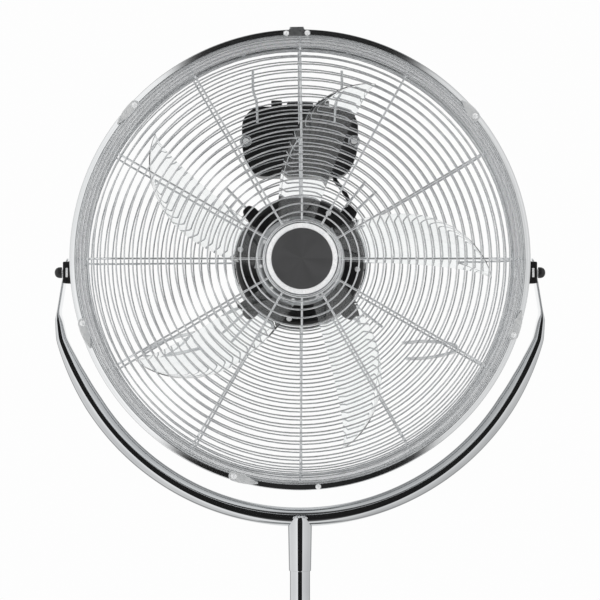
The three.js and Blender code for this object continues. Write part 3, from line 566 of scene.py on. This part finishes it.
def pivotStrip():
    # The bright edge of the spring clip that stands in a slot of the front cheek.
    outline = roundedBox(-pivot["stripTo"], pivot["stripLow"], -pivot["stripFrom"], pivot["stripHigh"],
                         0.6, 4)
    return plateSurface(outline, -pivot["deep"] - 0.4, -pivot["deep"] + 0.4, 0.25)


def pivotCap():
    # A dome nut: its radius shrinks from the skirt to the tip along X.
    profile = [[0, pivot["capTo"]], [2.9, 282.6], [5.1, 281], [6.2, 278.6], [pivot["capRadius"], 276.4],
               [pivot["capRadius"], 275.2], [6.0, pivot["capFrom"]], [0, pivot["capFrom"]]]
    return mirrored(turnedSurface(softCorners(profile, 0.8, 4, False), "X", 40, False))


def pivotWasher():
    # A flat ring that leans with the tab.
    ring = roundedBox(4.6, 0.2, 6.6, 1.1, 0.3, 3)
    washer = placed(turnedSurface(ring, "X", 40), "Y", 180)
    return placed(washer, "Y", -pivot["lean"], (-yoke["tabX"] - 1.5, 0, 0))


for side, turn in (("left", lambda surface: surface), ("right", mirrored)):
    addPiece(f"pivot_saddle_{side}", "yoke", [turn(pivotBlock()), turn(pivotStrip())],
             ["mouldedAbs", "brightZinc"], tiltCentre, [f"pivot_block_{side}"])
    addPiece(f"pivot_dome_{side}", "head", turn(pivotCap()), "mouldedAbs", tiltCentre,
             [f"pivot_cap_{side}"])
    addPiece(f"pivot_ring_{side}", "yoke", turn(pivotWasher()), "chromePlate", tiltCentre,
             [f"pivot_washer_{side}"])
print("pivots done")

drum = {"outer": 257, "bandInner": 251.6, "sheet": 1.1, "front": -83.8, "rear": 43.8, "beadLip": 250.2,
        "bevel": 12}


def drumHalf():
    # From the bead's lip round its sloping face to the outside of the band. The front face rises towards the
    # front by tan(bevel) for each millimetre inwards.
    lip, outer, front = drum["beadLip"], drum["outer"], drum["front"]
    drop = np.tan(np.radians(drum["bevel"])) * (outer - lip)
    return np.array([[lip, front + 5.4], [lip, front + 0.5], [lip + 0.6, front], [outer - 0.5, front + drop],
                     [outer, front + drop + 0.8], [outer, front + 5.2], [outer - 1.8, front + 7.4],
                     [drum["bandInner"] + drum["sheet"], front + 8.4]], float)


def drumSurfaces():
    # The buffed outside with both beads, and the dull inside of the band, whose ends tuck under the lips.
    half = drumHalf()
    front, rear, inner = drum["front"], drum["rear"], drum["bandInner"]
    other = (half * [1, -1])[::-1] + [0, front + rear]
    wall = inner + 0.15
    shell = np.vstack([[[wall, front + 8.5]], half, other, [[wall, rear - 8.5]]])
    sleeve = [[inner - 0.1, front + 7.6], [wall + 0.2, front + 7.6], [wall + 0.2, rear - 7.6],
              [inner - 0.1, rear - 7.6]]
    return [turnedSurface(softCorners(profile, size, steps), "Y", 288)
            for profile, size, steps in ((shell, 0.7, 4), (sleeve, 0.1, 3))]


addPiece("drum_shell", "head", drumSurfaces(), ["rolledChrome", "dullPlate"], fanCentre,
         ["drum_band"], crease=28)

cage = {"wire": 0.88, "spoke": 1.2, "ring": 1.5, "rimWire": 1.9, "spokes": 12, "offCentre": 2.2,
        "pitch": 9.0, "start": 43.7, "startAngle": 37.4, "spokeFrom": 41, "ringRadius": 41.7, "faceY": -124.4,
        "flatTo": 202.3, "shoulder": 40, "turn": 60, "rim": 249.3, "rimY": -83.2,
        "backPitch": 9.6, "backStart": 79.0, "backStartAngle": 195, "backSpokeFrom": 76.5,
        "backRingRadius": 78, "backY": 68.0, "backFlatTo": 226.0, "backRim": 249.6, "backRimY": 41.0}


def frontMeridian():
    # Straight across the face, round the shoulder's arc, and down the cone to the rim, as (radius, y) points.
    a = np.linspace(0, np.radians(cage["turn"]), 30)
    face = np.stack([np.linspace(20, cage["flatTo"], 60), np.full(60, cage["faceY"])], 1)
    bend = np.stack([cage["flatTo"] + cage["shoulder"] * np.sin(a),
                     cage["faceY"] + cage["shoulder"] * (1 - np.cos(a))], 1)
    return np.vstack([face, bend[1:], [[cage["rim"], cage["rimY"]]]])


def backMeridian():
    # Straight across the flat back, then a quarter of an ellipse forward to the rim.
    a = np.linspace(0, np.pi / 2, 30)
    face = np.stack([np.linspace(40, cage["backFlatTo"], 60), np.full(60, cage["backY"])], 1)
    bend = np.stack([cage["backFlatTo"] + (cage["backRim"] - cage["backFlatTo"]) * np.sin(a),
                     cage["backRimY"] + (cage["backY"] - cage["backRimY"]) * np.cos(a)], 1)
    return np.vstack([face, bend[1:]])


def alongMeridian(meridian, length):
    # Radius and y at a length walked from the meridian's first point.
    walked = np.concatenate([[0], np.cumsum(np.linalg.norm(np.diff(meridian, axis=0), axis=1))])
    return np.interp(length, walked, meridian[:, 0]), np.interp(length, walked, meridian[:, 1]), walked[-1]


def spiralSurface(meridian, start, startAngle, pitch, clockwise, stepsPerTurn=96):
    # A wire at length start + pitch * turns along the meridian, while its direction goes round once a turn.
    first = start - meridian[0, 0]
    total = alongMeridian(meridian, 0)[2]
    last = (total - first) / pitch
    turns = np.linspace(0, last, int(last * stepsPerTurn))
    radius, y, _ = alongMeridian(meridian, first + pitch * turns)
    angle = np.radians(startAngle) + (-1 if clockwise else 1) * 2 * np.pi * turns
    path = np.stack([radius * np.cos(angle), y, radius * np.sin(angle)], 1)
    return carriedSurface(path, roundSection(cage["wire"], 8), (0, 1, 0))


def spokeSurface(meridian, start, angle, behind, radius):
    # A bar along the meridian, moved off it by its normal (-dy, dr) so that it lies against the spiral.
    total = alongMeridian(meridian, 0)[2]
    reach, y, _ = alongMeridian(meridian, np.linspace(start - meridian[0, 0], total, 70))
    path = np.stack([reach, y, 0 * reach], 1)
    step = np.gradient(path, axis=0)
    inwards = np.stack([-step[:, 1], step[:, 0], 0 * reach], 1)
    path = path + behind * inwards / np.linalg.norm(inwards, axis=1, keepdims=True)
    return placed(carriedSurface(path, roundSection(radius, 10), (0, 0, 1)), "Y", angle)


def hoopSurface(radius, y, wire, steps=180, sides=12):
    # A round wire carried round the circle (r cos t, y, r sin t).
    t = np.linspace(0, 2 * np.pi, steps, endpoint=False)
    path = np.stack([radius * np.cos(t), np.full(steps, float(y)), radius * np.sin(t)], 1)
    return carriedSurface(path, roundSection(wire, sides), (0, 1, 0), True)


def eased(surface):
    # The cage's middle sits a little to the right of the hub: x moves by offCentre * (1 - (r / rim)^2).
    points = surface["points"].copy()
    radius = np.hypot(points[:, 0], points[:, 2]) / cage["rim"]
    points[:, 0] += cage["offCentre"] * np.clip(1 - radius**2, 0, 1)
    return {**surface, "points": points}


spokeStep = cage["wire"] + cage["spoke"] - 0.15
spokeAngles = 360 / cage["spokes"] * np.arange(cage["spokes"])
front = frontMeridian()
frontWires = [spiralSurface(front, cage["start"], cage["startAngle"], cage["pitch"], True)]
frontWires += [spokeSurface(front, cage["spokeFrom"], angle, spokeStep, cage["spoke"])
               for angle in spokeAngles]
frontWires += [hoopSurface(cage["ringRadius"], cage["faceY"] + 0.4, cage["ring"], 120),
               hoopSurface(cage["rim"] - 0.2, cage["rimY"] + 1.6, cage["rimWire"])]
addPiece("front_cage", "head", eased(joined(*frontWires)), "chromeWire", fanCentre,
         ["front_grille_face", "front_grille_side"], crease=60)

back = backMeridian()
backWires = [spiralSurface(back, cage["backStart"], cage["backStartAngle"], cage["backPitch"], False)]
backWires += [spokeSurface(back, cage["backSpokeFrom"], angle + 0.4, -spokeStep, cage["spoke"])
              for angle in spokeAngles]
backWires += [hoopSurface(cage["backRingRadius"], cage["backY"] - 0.4, cage["ring"], 120),
              hoopSurface(cage["backRim"], cage["backRimY"], cage["rimWire"])]
addPiece("rear_cage", "head", joined(*backWires), "chromeWire", fanCentre,
         ["rear_grille_face", "rear_grille_side"], crease=60)

holders = {"mountAngles": [43, 51, 134.6, 142.6, 222.4, 229.4, 314.6, 322], "mountFrom": 76, "mountTo": 124,
           "mountWire": 1.5, "boxWire": 1.6,
           "boxWires": [[[-56, 228], [-55.6, 205], [-51.5, 190], [-50.5, 166]],
                        [[49.5, 228], [49.2, 205], [42.5, 190], [40.5, 166]]]}


def mountWire(angle):
    # A straight radial wire between a motor lug and the cage, bowed back by 1 mm.
    path = smoothPath([[holders["mountFrom"], 63.8, 0], [90, 64.2, 0], [holders["mountTo"], 64.8, 0]], 12)
    return placed(carriedSurface(path, roundSection(holders["mountWire"], 10), (0, 1, 0)), "Y", angle)


def boxWire(points):
    # A bent wire from the cage's outer rings down to the front of the switch box.
    path = smoothPath([[x, 66.4 if z > 170 else 67.2, z] for x, z in points], 30)
    return carriedSurface(path, roundSection(holders["boxWire"], 10), (0, 1, 0))


heldWires = [mountWire(angle) for angle in holders["mountAngles"]]
heldWires += [boxWire(points) for points in holders["boxWires"]]
addPiece("rear_cage_holders", "head", joined(*heldWires), "chromeWire", fanCentre, crease=60)

wraps = {"wire": 2.0, "startY": 71.3, "reach": 34,
         "left": [[[-125, -83], [-119, -102]], [-183, -107]],
         "right": [[[122, -95], [127, -114]], [183, -102]]}


def wrapSurface(ends, tip):
    # A hairpin: out from one end, round the tip, and back to the other end.
    (x0, z0), (x1, z1) = ends
    (tipX, tipZ), near = tip, wraps["startY"]
    mid, far = near + wraps["reach"] * 0.7, near + wraps["reach"]
    points = [[x0, near, z0], [(x0 + tipX) / 2, mid, (z0 + tipZ) / 2 + 5], [tipX, far, tipZ + 5],
              [tipX * 1.03, far + 1, tipZ], [tipX, far, tipZ - 5],
              [(x1 + tipX) / 2, mid, (z1 + tipZ) / 2 - 5], [x1, near, z1]]
    return carriedSurface(smoothPath(points, 80), roundSection(wraps["wire"], 12), (0.02, 0.05, 1))


for side in ("left", "right"):
    addPiece(f"cord_hook_{side}", "head", wrapSurface(*wraps[side]), "chromeWire", fanCentre,
             [f"cord_wrap_{side}"], crease=60)
print("drum and cages done")

discProfile = [[0, -127.2], [20, -127.1], [32.4, -126.8], [33.1, -126.2], [33.2, -125], [33.2, -122.8],
               [0, -122.8]]
bezelProfile = [[33.5, -122.8], [33.5, -126.4], [36.0, -128.2], [36.5, -128.2], [39.0, -126.2],
                [39.0, -122.8]]
addPiece("badge_face", "head", eased(turnedSurface(softCorners(discProfile, 0.5, 3, False), "Y", 120, False)),
         "spunBadge", fanCentre, ["badge_disc"])
addPiece("badge_bezel", "head", eased(turnedSurface(softCorners(bezelProfile, 0.5, 4), "Y", 120)),
         "pearlChrome", fanCentre, ["badge_ring"], crease=50)

screw = {"slotWide": 0.9, "slotDeep": 0.7}


def domeScrew(radius, height, y, slotAngle=30.0):
    # A low dome facing the front: y - height * sqrt(1 - (r / radius)^2), with a slot sunk across it.
    steps, rings = 48, 14
    t = np.linspace(0, 2 * np.pi, steps, endpoint=False)
    r = radius * np.sin(np.linspace(0.08, np.pi / 2, rings))[:, None]
    rise = height * np.sqrt(np.clip(1 - (r / radius) ** 2, 0, 1)) + 0.25
    across = np.abs(r * np.sin(t - np.radians(slotAngle)))
    sunk = screw["slotDeep"] * (1 - np.clip((across - screw["slotWide"] / 2) / 0.25, 0, 1))
    sunk = sunk * (r < radius * 0.82)
    front = np.stack([r * np.cos(t), y - rise * np.ones(steps) + sunk, r * np.sin(t)], 2)
    back = np.stack([radius * np.cos(t), np.full(steps, y + 0.5), radius * np.sin(t)], 1)[None]
    top = [0, y - height - 0.25 + screw["slotDeep"], 0]
    return gridSurface(np.concatenate([front, back]), tips=(top, "middle"))


clips = {"radius": 251.8, "half": 5.2, "thick": 1.2, "screw": 3.4, "face": -84.1,
         "angles": [[39.3, 44.5], [137, 143.5], [196.4, 203], [253, 259.4], [340.5, 347.2]]}


def clipSurface(screwAngle, tipAngle):
    # A leaf: half-width 0.5 + 5.2 * (1 - s^2.4) from the round screw end, s = 0, to the point, s = 1, with a
    # small dimple.
    length = clips["radius"] * np.radians(tipAngle - screwAngle)
    s = np.linspace(0, 1, 22)
    half = clips["half"] * (1 - s**2.4) + 0.5
    top = np.stack([length * s, half * (1 - 0.25 * s)], 1)
    bottom = np.stack([length * s, -half * (1 + 0.1 * s)], 1)[::-1]
    a = np.linspace(-np.pi / 2, -1.5 * np.pi, 14)[1:-1]
    end = np.stack([5.7 * np.cos(a), 5.7 * np.sin(a)], 1)
    outline = np.vstack([top, bottom, end])
    leaf = plateSurface(outline, clips["face"] - clips["thick"], clips["face"], 0.35)
    dimple = domeScrew(0.9, 0.3, clips["face"] - clips["thick"])
    return [placed(placed(part, "Y", 90, (clips["radius"], 0, 0)), "Y", screwAngle) for part in (
        leaf, placed(dimple, move=(length * 0.42, 0, -2.2)),
        domeScrew(clips["screw"], 2.0, clips["face"] - clips["thick"], 20 + screwAngle))]


for index, (screwAngle, tipAngle) in enumerate(clips["angles"], 1):
    addPiece(f"leaf_clip_{index}", "head", clipSurface(screwAngle, tipAngle),
             ["satinChrome", "satinChrome", "brightZinc"], fanCentre,
             [f"rim_clip_{index}"])

bracket = {"face": -84.1, "thick": 1.3, "deep": 30, "turn": 0.8}


def bracketSurface():
    # The lip's outline steps up from the ears to the middle, and a tongue runs back over the bead.
    lip = softCorners([[-15, 249.6], [15, 249.6], [15, 254.6], [9.4, 255.4], [8.0, 257.6], [-8.0, 257.6],
                       [-9.4, 255.4], [-15, 254.6]], 1.4, 5)
    tongue = roundedBox(-8, bracket["face"] - bracket["thick"], 8, bracket["face"] + bracket["deep"], 1.2, 4)
    return joined(plateSurface(lip, bracket["face"] - bracket["thick"], bracket["face"], 0.4),
                  plateSurface(tongue, 257.35, 259.2, 0.5, "XY"))


bracketScrews = [placed(domeScrew(3.0, 1.8, bracket["face"] - bracket["thick"], angle), move=(x, 0, 252))
                 for x, angle in ((-11.6, 70), (11.6, 10))]
addPiece("top_bracket_plate", "head",
         [placed(part, "Y", bracket["turn"]) for part in (bracketSurface(), *bracketScrews)],
         ["pressedSteel", "brightZinc", "brightZinc"], fanCentre, ["top_bracket"])
seamScrew = placed(placed(domeScrew(3.2, 1.7, drum["front"] + 0.9, 50), move=(253.6, 0, 0)), "Y", 274.6)
addPiece("drum_seam_screw", "head", seamScrew, "brightZinc", fanCentre)
print("badge and clips done")

motor = {"flange": 64.5, "lugAngles": [45, 135, 225, 315], "lugScrewAt": 83, "fins": 28, "firstFin": 6,
         "frontScrews": [[-69, 13.5], [66.5, -9], [-12.6, -66], [33, 56]]}

frontShell = [[9.3, 6], [20, 6], [22, 7.6], [44, 7.6], [46, 6], [70, 6.2], [73, 7.6], [74, 10], [74, 35.7],
              [71.4, 35.7], [71.4, 12], [68, 9.4], [48, 9.2], [44, 10.4], [22, 10.4], [18, 9.2], [9.3, 9.2]]
rearShell = [[71.4, 36], [74, 36], [75.4, 37], [75.4, 40], [74, 41], [74, 72], [72, 80], [64, 90],
             [54, 96.8], [50, 98], [26, 98], [24, 99.6], [12, 99.6], [9.3, 99.2], [9.3, 94], [52, 93.8],
             [61, 88], [71.4, 71.5]]


def motorLug(angle):
    # A flat ear with clipped corners, standing out of the motor's side.
    outline = softCorners([[68, -8.5], [84, -8.5], [91.5, -5], [91.5, 5], [84, 8.5], [68, 8.5]], 3, 5)
    return placed(plateSurface(outline, motor["flange"] - 4.2, motor["flange"] - 0.4, 0.9), "Y", angle)


def motorFin(angle):
    # A low rib along the motor's side and round its sloping back edge.
    outline = softCorners([[66.4, 79], [74.8, 44], [75.9, 44], [75.9, 72], [70.5, 83]], 0.8, 3)
    fin = plateSurface(outline, -0.9, 0.9, 0.4, "XY")
    return placed(fin, "Y", angle)


finAngles = 360 / motor["fins"] * np.arange(motor["fins"]) + motor["firstFin"]
fromLug = np.abs((finAngles[:, None] - motor["lugAngles"] + 180) % 360 - 180).min(1)
lugs = [motorLug(angle) for angle in motor["lugAngles"]]
fins = [motorFin(angle) for angle in finAngles[fromLug > 8]]
addPiece("motor_front_cover", "head", turnedSurface(softCorners(frontShell, 1.0, 4), "Y", 120),
         "blackEnamel", fanCentre, ["motor_front_shell"])
addPiece("motor_rear_cover", "head",
         joined(turnedSurface(softCorners(rearShell, 1.2, 4), "Y", 120), *lugs, *fins),
         "blackEnamel", fanCentre, ["motor_rear_shell"])

# the cover's screws face the front, and the lugs' screws go in from behind
screws = [placed(domeScrew(3.2, 1.6, 6.3, 40 * k), move=(x, 0, z))
          for k, (x, z) in enumerate(motor["frontScrews"])]
for k, angle in enumerate(motor["lugAngles"]):
    lugScrew = placed(domeScrew(3.6, 2.0, 0.4 - motor["flange"], 70 * k), "Z", 180)
    screws.append(placed(placed(lugScrew, move=(motor["lugScrewAt"], 0, 0)), "Y", angle))
addPiece("motor_screws", "head", joined(*screws), "brightZinc", fanCentre)
print("motor done")

blade = {"tip": 219.6, "root": 49, "plane": -26, "half": 1.0, "taper": 0.16, "firstTip": -5.7, "count": 5}


def bladeAngles(radius):
    # Directions of the back edge and of the front edge at a radius, in degrees from the tip.
    x = np.clip(radius / 220, 0, 1)
    backEdge = 5 * np.sqrt(1 - x**2)
    frontEdge = 40 * (1 - x**2) ** 0.75 + 6.5 * np.exp((75 - radius) / 31) * np.sqrt(1 - x**2)
    return np.radians(backEdge), np.radians(frontEdge)


def bladePoint(radius, along, lift):
    # y = plane - tan(pitch) * r * (direction - middle of the chord), with the pitch easing from 38 to 22
    # degrees, and a camber that bows the middle of the chord 4 % of its width towards the front.
    low, high = bladeAngles(radius)
    direction = low + (high - low) * along
    pitch = np.radians(38 - 16 * radius / 220)
    bow = 0.16 * (along - along**2) * radius * (high - low)
    y = blade["plane"] - np.tan(pitch) * radius * (direction - (low + high) / 2) - bow + lift
    return np.stack([radius * np.cos(direction), y, radius * np.sin(direction)], -1)


def bladeSurface(number):
    # Rows run from the root to the tip. Each row goes along the front face and back along the rear face, and
    # the thickness grows from each edge as 1 - (1 - s / taper)^2, so that the edges bend what is seen
    # through them.
    radius = blade["root"] + (blade["tip"] - blade["root"]) * np.sin(np.linspace(0, np.pi / 2, 72))[:, None]
    s = (1 - np.cos(np.linspace(0.02, np.pi - 0.02, 44))) / 2
    along = np.concatenate([s, s[::-1]])[None]
    rim = 1 - (1 - np.clip(np.minimum(s, 1 - s) / blade["taper"], 0, 1)) ** 2
    lift = blade["half"] * np.concatenate([-rim, rim[::-1]])[None]
    points = bladePoint(*np.broadcast_arrays(radius, along, lift))
    return placed(gridSurface(points, tips=("middle", "middle")), "Y", blade["firstTip"] + 72 * number)


for number in range(blade["count"]):
    addPiece(f"blade_sheet_{number + 1}", "rotor", bladeSurface(number), "clearSan", fanCentre,
             [f"blade_{number + 1}"], crease=50)

hub = {"rivetRing": 45.2, "rivets": 10}
hubProfile = [[4.4, -42], [12, -42], [13, -40], [13.5, -33], [18, -31], [38, -31], [41, -33.6], [44, -34.2],
              [47.4, -33.4], [50.6, -30.6], [51.2, -27.5], [48, -25.4], [42, -27.6], [16, -27], [13, -24],
              [13, -14], [4.4, -14]]
rivetProfile = [[0, -37], [1.2, -36.8], [2.0, -36.2], [2.2, -33], [0, -33]]
rivet = placed(turnedSurface(rivetProfile, "Y", 20, False), move=(hub["rivetRing"], 0, 0))
rivets = [placed(rivet, "Y", 360 / hub["rivets"] * k + 8) for k in range(hub["rivets"])]
addPiece("hub_disc", "rotor", [turnedSurface(softCorners(hubProfile, 1.2, 4), "Y", 120), joined(*rivets)],
         ["pressedSteel", "brightZinc"], fanCentre, ["blade_hub"], crease=40)
print("blades done")

box = {"half": 69, "low": 103, "high": 186, "front": 70, "seam": 72.7, "back": 125, "corner": 25, "tall": 42,
       "knobHigh": 7.4, "knobY": 97.5, "ribs": 30, "lugX": 28}


def boxOutline():
    # Quarter circles at the top corners and quarter ellipses, 25 wide and 42 high, at the bottom ones.
    a = np.linspace(0, np.pi / 2, 16)
    x, low, high = box["half"], box["low"], box["high"]
    c, tall = box["corner"], box["tall"]
    right = np.concatenate([
        np.stack([x - c + c * np.sin(a), low + tall - tall * np.cos(a)], 1),
        np.stack([x - c + c * np.cos(a), high - c + c * np.sin(a)], 1),
    ])
    return np.concatenate([right, (right * [-1, 1])[::-1]])


boxLug = roundedBox(-6.5, box["knobY"] - 13, 6.5, box["knobY"] + 13, 2.5, 5)
addPiece("switch_box_rear_half", "head", joined(
    plateSurface(boxOutline(), 73, box["back"], 3.5),
    *[placed(plateSurface(boxLug, 183.5, box["high"] + box["knobHigh"] + 1.4, 1.2, "XY"), move=(x, 0, 0))
      for x in (-box["lugX"], box["lugX"])],
), "mouldedAbs", fanCentre, ["switch_box_shell"])
addPiece("switch_box_cover", "head", plateSurface(boxOutline(), box["front"], box["seam"], 1.2),
         "mouldedAbs", fanCentre, ["switch_box_front"])
wheel = [[0, 186.6], [13, 186.6], [15.4, 187.0], [15.8, 187.8], [15.8, 192.0], [15.2, 192.9], [12.6, 193.2],
         [11.8, 192.6], [0, 192.4]]
pointer = roundedBox(-1.1, -11, 1.1, -3, 0.9, 4)
addPiece("speed_wheel", "speed_knob", [
    placed(turnedSurface(softCorners(wheel, 0.3, 3, False), "Z", box["ribs"] * 8, False, (box["ribs"], 1.0)),
           move=(0, box["knobY"], 0)),
    placed(plateSurface(pointer, 192.2, 193.2, 0.25, "XY"), move=(0, box["knobY"], 0)),
], "greyNylon", fanCentre, ["speed_knob"])

eyelet = {"x": 64.3, "z": 144.5, "radius": 5.9, "wire": 1.3, "y": 68.4}


def eyeletSurface(side):
    # A loop of cage wire round the screw.
    t = np.linspace(0, 2 * np.pi, 40, endpoint=False)
    loop = np.stack([eyelet["radius"] * np.cos(t), np.full(40, eyelet["y"]), eyelet["radius"] * np.sin(t)], 1)
    ring = carriedSurface(loop, roundSection(eyelet["wire"], 10), (0, 1, 0), True)
    return placed(ring, move=(side * eyelet["x"], 0, eyelet["z"]))


boxScrews = [placed(domeScrew(3.9, 2.4, eyelet["y"] + 0.2, 35 * side),
                    move=(side * eyelet["x"], 0, eyelet["z"])) for side in (-1, 1)]
addPiece("switch_box_eyelets", "head", [eyeletSurface(-1), eyeletSurface(1), *boxScrews],
         ["chromeWire"] * 2 + ["brightZinc"] * 2, fanCentre)

gland = {"x": -35, "z": 123}
glandProfile = [[3.6, 121], [4.7, 121], [4.7, 125.3], [8, 125.3], [7.7, 128.6], [6.2, 130], [6.4, 131.4],
                [5.6, 133], [5.8, 134.4], [5.0, 136], [5.1, 138.8], [3.6, 138.8]]
addPiece("cord_gland_moulded", "head",
         placed(turnedSurface(softCorners(glandProfile, 0.5, 3), "Y", 48), move=(gland["x"], 0, gland["z"])),
         "blackRubber", fanCentre, ["cord_gland"])

lead = {"radius": 2.5, "path": [[42, 97, 108], [42, 97, 101], [48, 95, 92], [56, 90, 80], [59, 86, 68],
                                [57, 82, 59], [53.6, 79, 54.4]]}
addPiece("motor_lead_flex", "head",
         carriedSurface(smoothPath(lead["path"], 60), roundSection(lead["radius"], 16), (1, 0.3, 0.2)),
         "blackRubber", fanCentre, ["motor_lead"], crease=60)
print("switch box done")

kept = {
    "brightZinc": ["base_bolt", "pole_nut", "height_screw", "stem_screw", "pivot_bolt_left",
                   "pivot_bolt_right", "blade_nut", "motor_shaft"],
    "laminations": ["stator", "rotor_core"],
    "sinteredBronze": ["front_bush", "rear_bush"],
    "castIron": ["base_weight"],
    "greyNylon": ["guide_bush", "pole_slide_plug", "rotary_switch", "capacitor"],
}
for finishName, nodes in kept.items():
    for node in nodes:
        slots = frame["nodes"][node].data.materials
        slots.clear()
        slots.append(finishes[finishName])

# Brightness of the room by degrees to the right of straight behind the camera, and by degrees above the
# horizon. A black flag hangs round the camera and a dim sail over the front half of the room.
studio = {"floorRadius": 4800, "floorThick": 20, "background": 0.985, "ambient": 1.05,
          "flagWide": 24, "flagHigh": 56, "flagTone": 0.015, "flagFootTone": 0.12, "sail": 0.3,
          "walls": [(-180, 1.0), (-167, 1.0), (-162, 0.42), (-131, 0.42), (-124, 0.88), (-85, 0.82),
                    (-60, 0.86), (-40, 0.92), (-24, 1.1), (24, 0.9), (40, 0.76), (60, 0.72), (90, 0.66),
                    (124, 0.66), (131, 0.42), (162, 0.42), (167, 1.0), (180, 1.0)],
          "heights": [(-90, 0.82), (-40, 0.88), (-14, 1.0), (30, 1.0), (60, 0.85), (90, 0.75)]}
ringT = np.linspace(0, 2 * np.pi, 128, endpoint=False)
floorRows = studio["floorRadius"] * np.array([1, 0.998, 0.6, 0.3, 0.12, 0.04])[:, None]
floorTop = np.stack([floorRows * np.cos(ringT), floorRows * np.sin(ringT), np.zeros((6, 128))], 2)
floorUnder = floorTop[:1] - [0, 0, studio["floorThick"]]
floorTips = ([0, 0, -studio["floorThick"]], [0, 0, 0])
floor = makeObject("studio_floor", gridSurface(np.concatenate([floorUnder, floorTop]), tips=floorTips),
                   "paleFloor")
floor.visible_glossy = False

world = bpy.data.worlds.new("studio")
bpy.context.scene.world = world
world.use_nodes = True
tree = world.node_tree
tree.nodes.clear()
smooth, times = {"interpolation_type": "SMOOTHSTEP"}, {"operation": "MULTIPLY"}


def toneByAngle(source, levels):
    # Brightness against an angle in degrees, straight between the given levels.
    first, last = levels[0][0], levels[-1][0]
    spot = addNode(tree, "MapRange", {}, {"From Min": np.radians(first), "From Max": np.radians(last)},
                   {"Value": source.outputs[0]})
    ramp = addNode(tree, "ValToRGB", links={"Fac": spot.outputs["Result"]})
    stops = ramp.color_ramp.elements
    for degrees, level in levels:
        end = {first: 0, last: -1}.get(degrees)
        stop = stops.new((degrees - first) / (last - first)) if end is None else stops[end]
        stop.color = (level, level, level, 1)
    return ramp.outputs["Color"]


direction = addNode(tree, "SeparateXYZ", links={"Vector": addNode(tree, "TexCoord").outputs["Generated"]})
back = addNode(tree, "Math", times, {1: -1.0}, {0: direction.outputs["Y"]})
azimuth = addNode(tree, "Math", {"operation": "ARCTAN2"},
                  links={0: direction.outputs["X"], 1: back.outputs[0]})
elevation = addNode(tree, "Math", {"operation": "ARCSINE"}, links={0: direction.outputs["Z"]})
aside = addNode(tree, "Math", {"operation": "ABSOLUTE"}, links={0: direction.outputs["X"]})
room = addNode(tree, "Math", times, links={0: toneByAngle(azimuth, studio["walls"]),
                                           1: toneByAngle(elevation, studio["heights"])})

# the sail: high up, over the front half, in the middle
sailHigh = addNode(tree, "MapRange", smooth, {"From Min": 0.45, "From Max": 0.62},
                   {"Value": direction.outputs["Z"]})
sailFront = addNode(tree, "MapRange", smooth, {"From Min": -0.15, "From Max": 0.1},
                    {"Value": back.outputs[0]})
sailMiddle = addNode(tree, "MapRange", smooth, {"From Min": 0.6, "From Max": 0.4},
                     {"Value": aside.outputs[0]})
over = addNode(tree, "Math", times, links={0: sailHigh.outputs["Result"], 1: sailFront.outputs["Result"]})
under = addNode(tree, "Math", times, links={0: over.outputs[0], 1: sailMiddle.outputs["Result"]})
sail = addNode(tree, "MapRange", {}, {"To Min": 1.0, "To Max": studio["sail"]}, {"Value": under.outputs[0]})
lit = addNode(tree, "Math", times, links={0: room.outputs[0], 1: sail.outputs["Result"]})

# the flag: inside where (azimuth / wide)^2 + (elevation / high)^2 < 1, and a little lighter at its foot
wide = addNode(tree, "Math", {"operation": "DIVIDE"}, {1: np.radians(studio["flagWide"])},
               {0: azimuth.outputs[0]})
high = addNode(tree, "Math", {"operation": "DIVIDE"}, {1: np.radians(studio["flagHigh"])},
               {0: elevation.outputs[0]})
spread = addNode(tree, "CombineXYZ", links={"X": wide.outputs[0], "Y": high.outputs[0]})
reach = addNode(tree, "VectorMath", {"operation": "LENGTH"}, links={0: spread.outputs[0]})
opening = addNode(tree, "MapRange", smooth, {"From Min": 0.93, "From Max": 1.07},
                  {"Value": reach.outputs["Value"]})
foot = addNode(tree, "MapRange", smooth, {"From Min": -0.5, "From Max": -0.8, "To Min": studio["flagTone"],
                                          "To Max": studio["flagFootTone"]},
               {"Value": direction.outputs["Z"]})
flag = addNode(tree, "Mix", links={0: opening.outputs["Result"], 2: foot.outputs["Result"],
                                   3: lit.outputs[0]})

# what is seen straight or through the blades is plain paper, mirrors see the room, and the rest is soft light
path = addNode(tree, "LightPath")
shine = addNode(tree, "Background", links={"Color": flag.outputs[0]})
ambient = addNode(tree, "Background", values={"Color": (1, 1, 1, 1), "Strength": studio["ambient"]})
paper = addNode(tree, "Background", values={"Color": (1, 1, 1, 1), "Strength": studio["background"]})
light = addNode(tree, "MixShader",
                links={"Fac": path.outputs["Is Glossy Ray"], 1: ambient.outputs[0], 2: shine.outputs[0]})
straight = addNode(tree, "Math", {"operation": "MAXIMUM"},
                   links={0: path.outputs["Is Camera Ray"], 1: path.outputs["Is Transmission Ray"]})
whole = addNode(tree, "MixShader",
                links={"Fac": straight.outputs[0], 1: light.outputs[0], 2: paper.outputs[0]})
addNode(tree, "OutputWorld", links={"Surface": whole.outputs[0]})

camera = {"away": 2380, "high": 1030, "lens": 123.77, "sensor": 36, "pitchUp": 0.372}
cameraData = bpy.data.cameras.new("camera")
cameraData.lens = camera["lens"]
cameraData.sensor_width = camera["sensor"]
cameraData.clip_end = 100
cameraObject = bpy.data.objects.new("camera", cameraData)
bpy.context.scene.collection.objects.link(cameraObject)
cameraObject.matrix_world = (
    Matrix.Translation((0, -camera["away"] * mm, camera["high"] * mm))
    @ Matrix.Rotation(np.radians(90 + camera["pitchUp"]), 4, "X")
)
bpy.context.scene.camera = cameraObject
bpy.context.scene.view_settings.view_transform = "Standard"
print("floor, light and camera done")
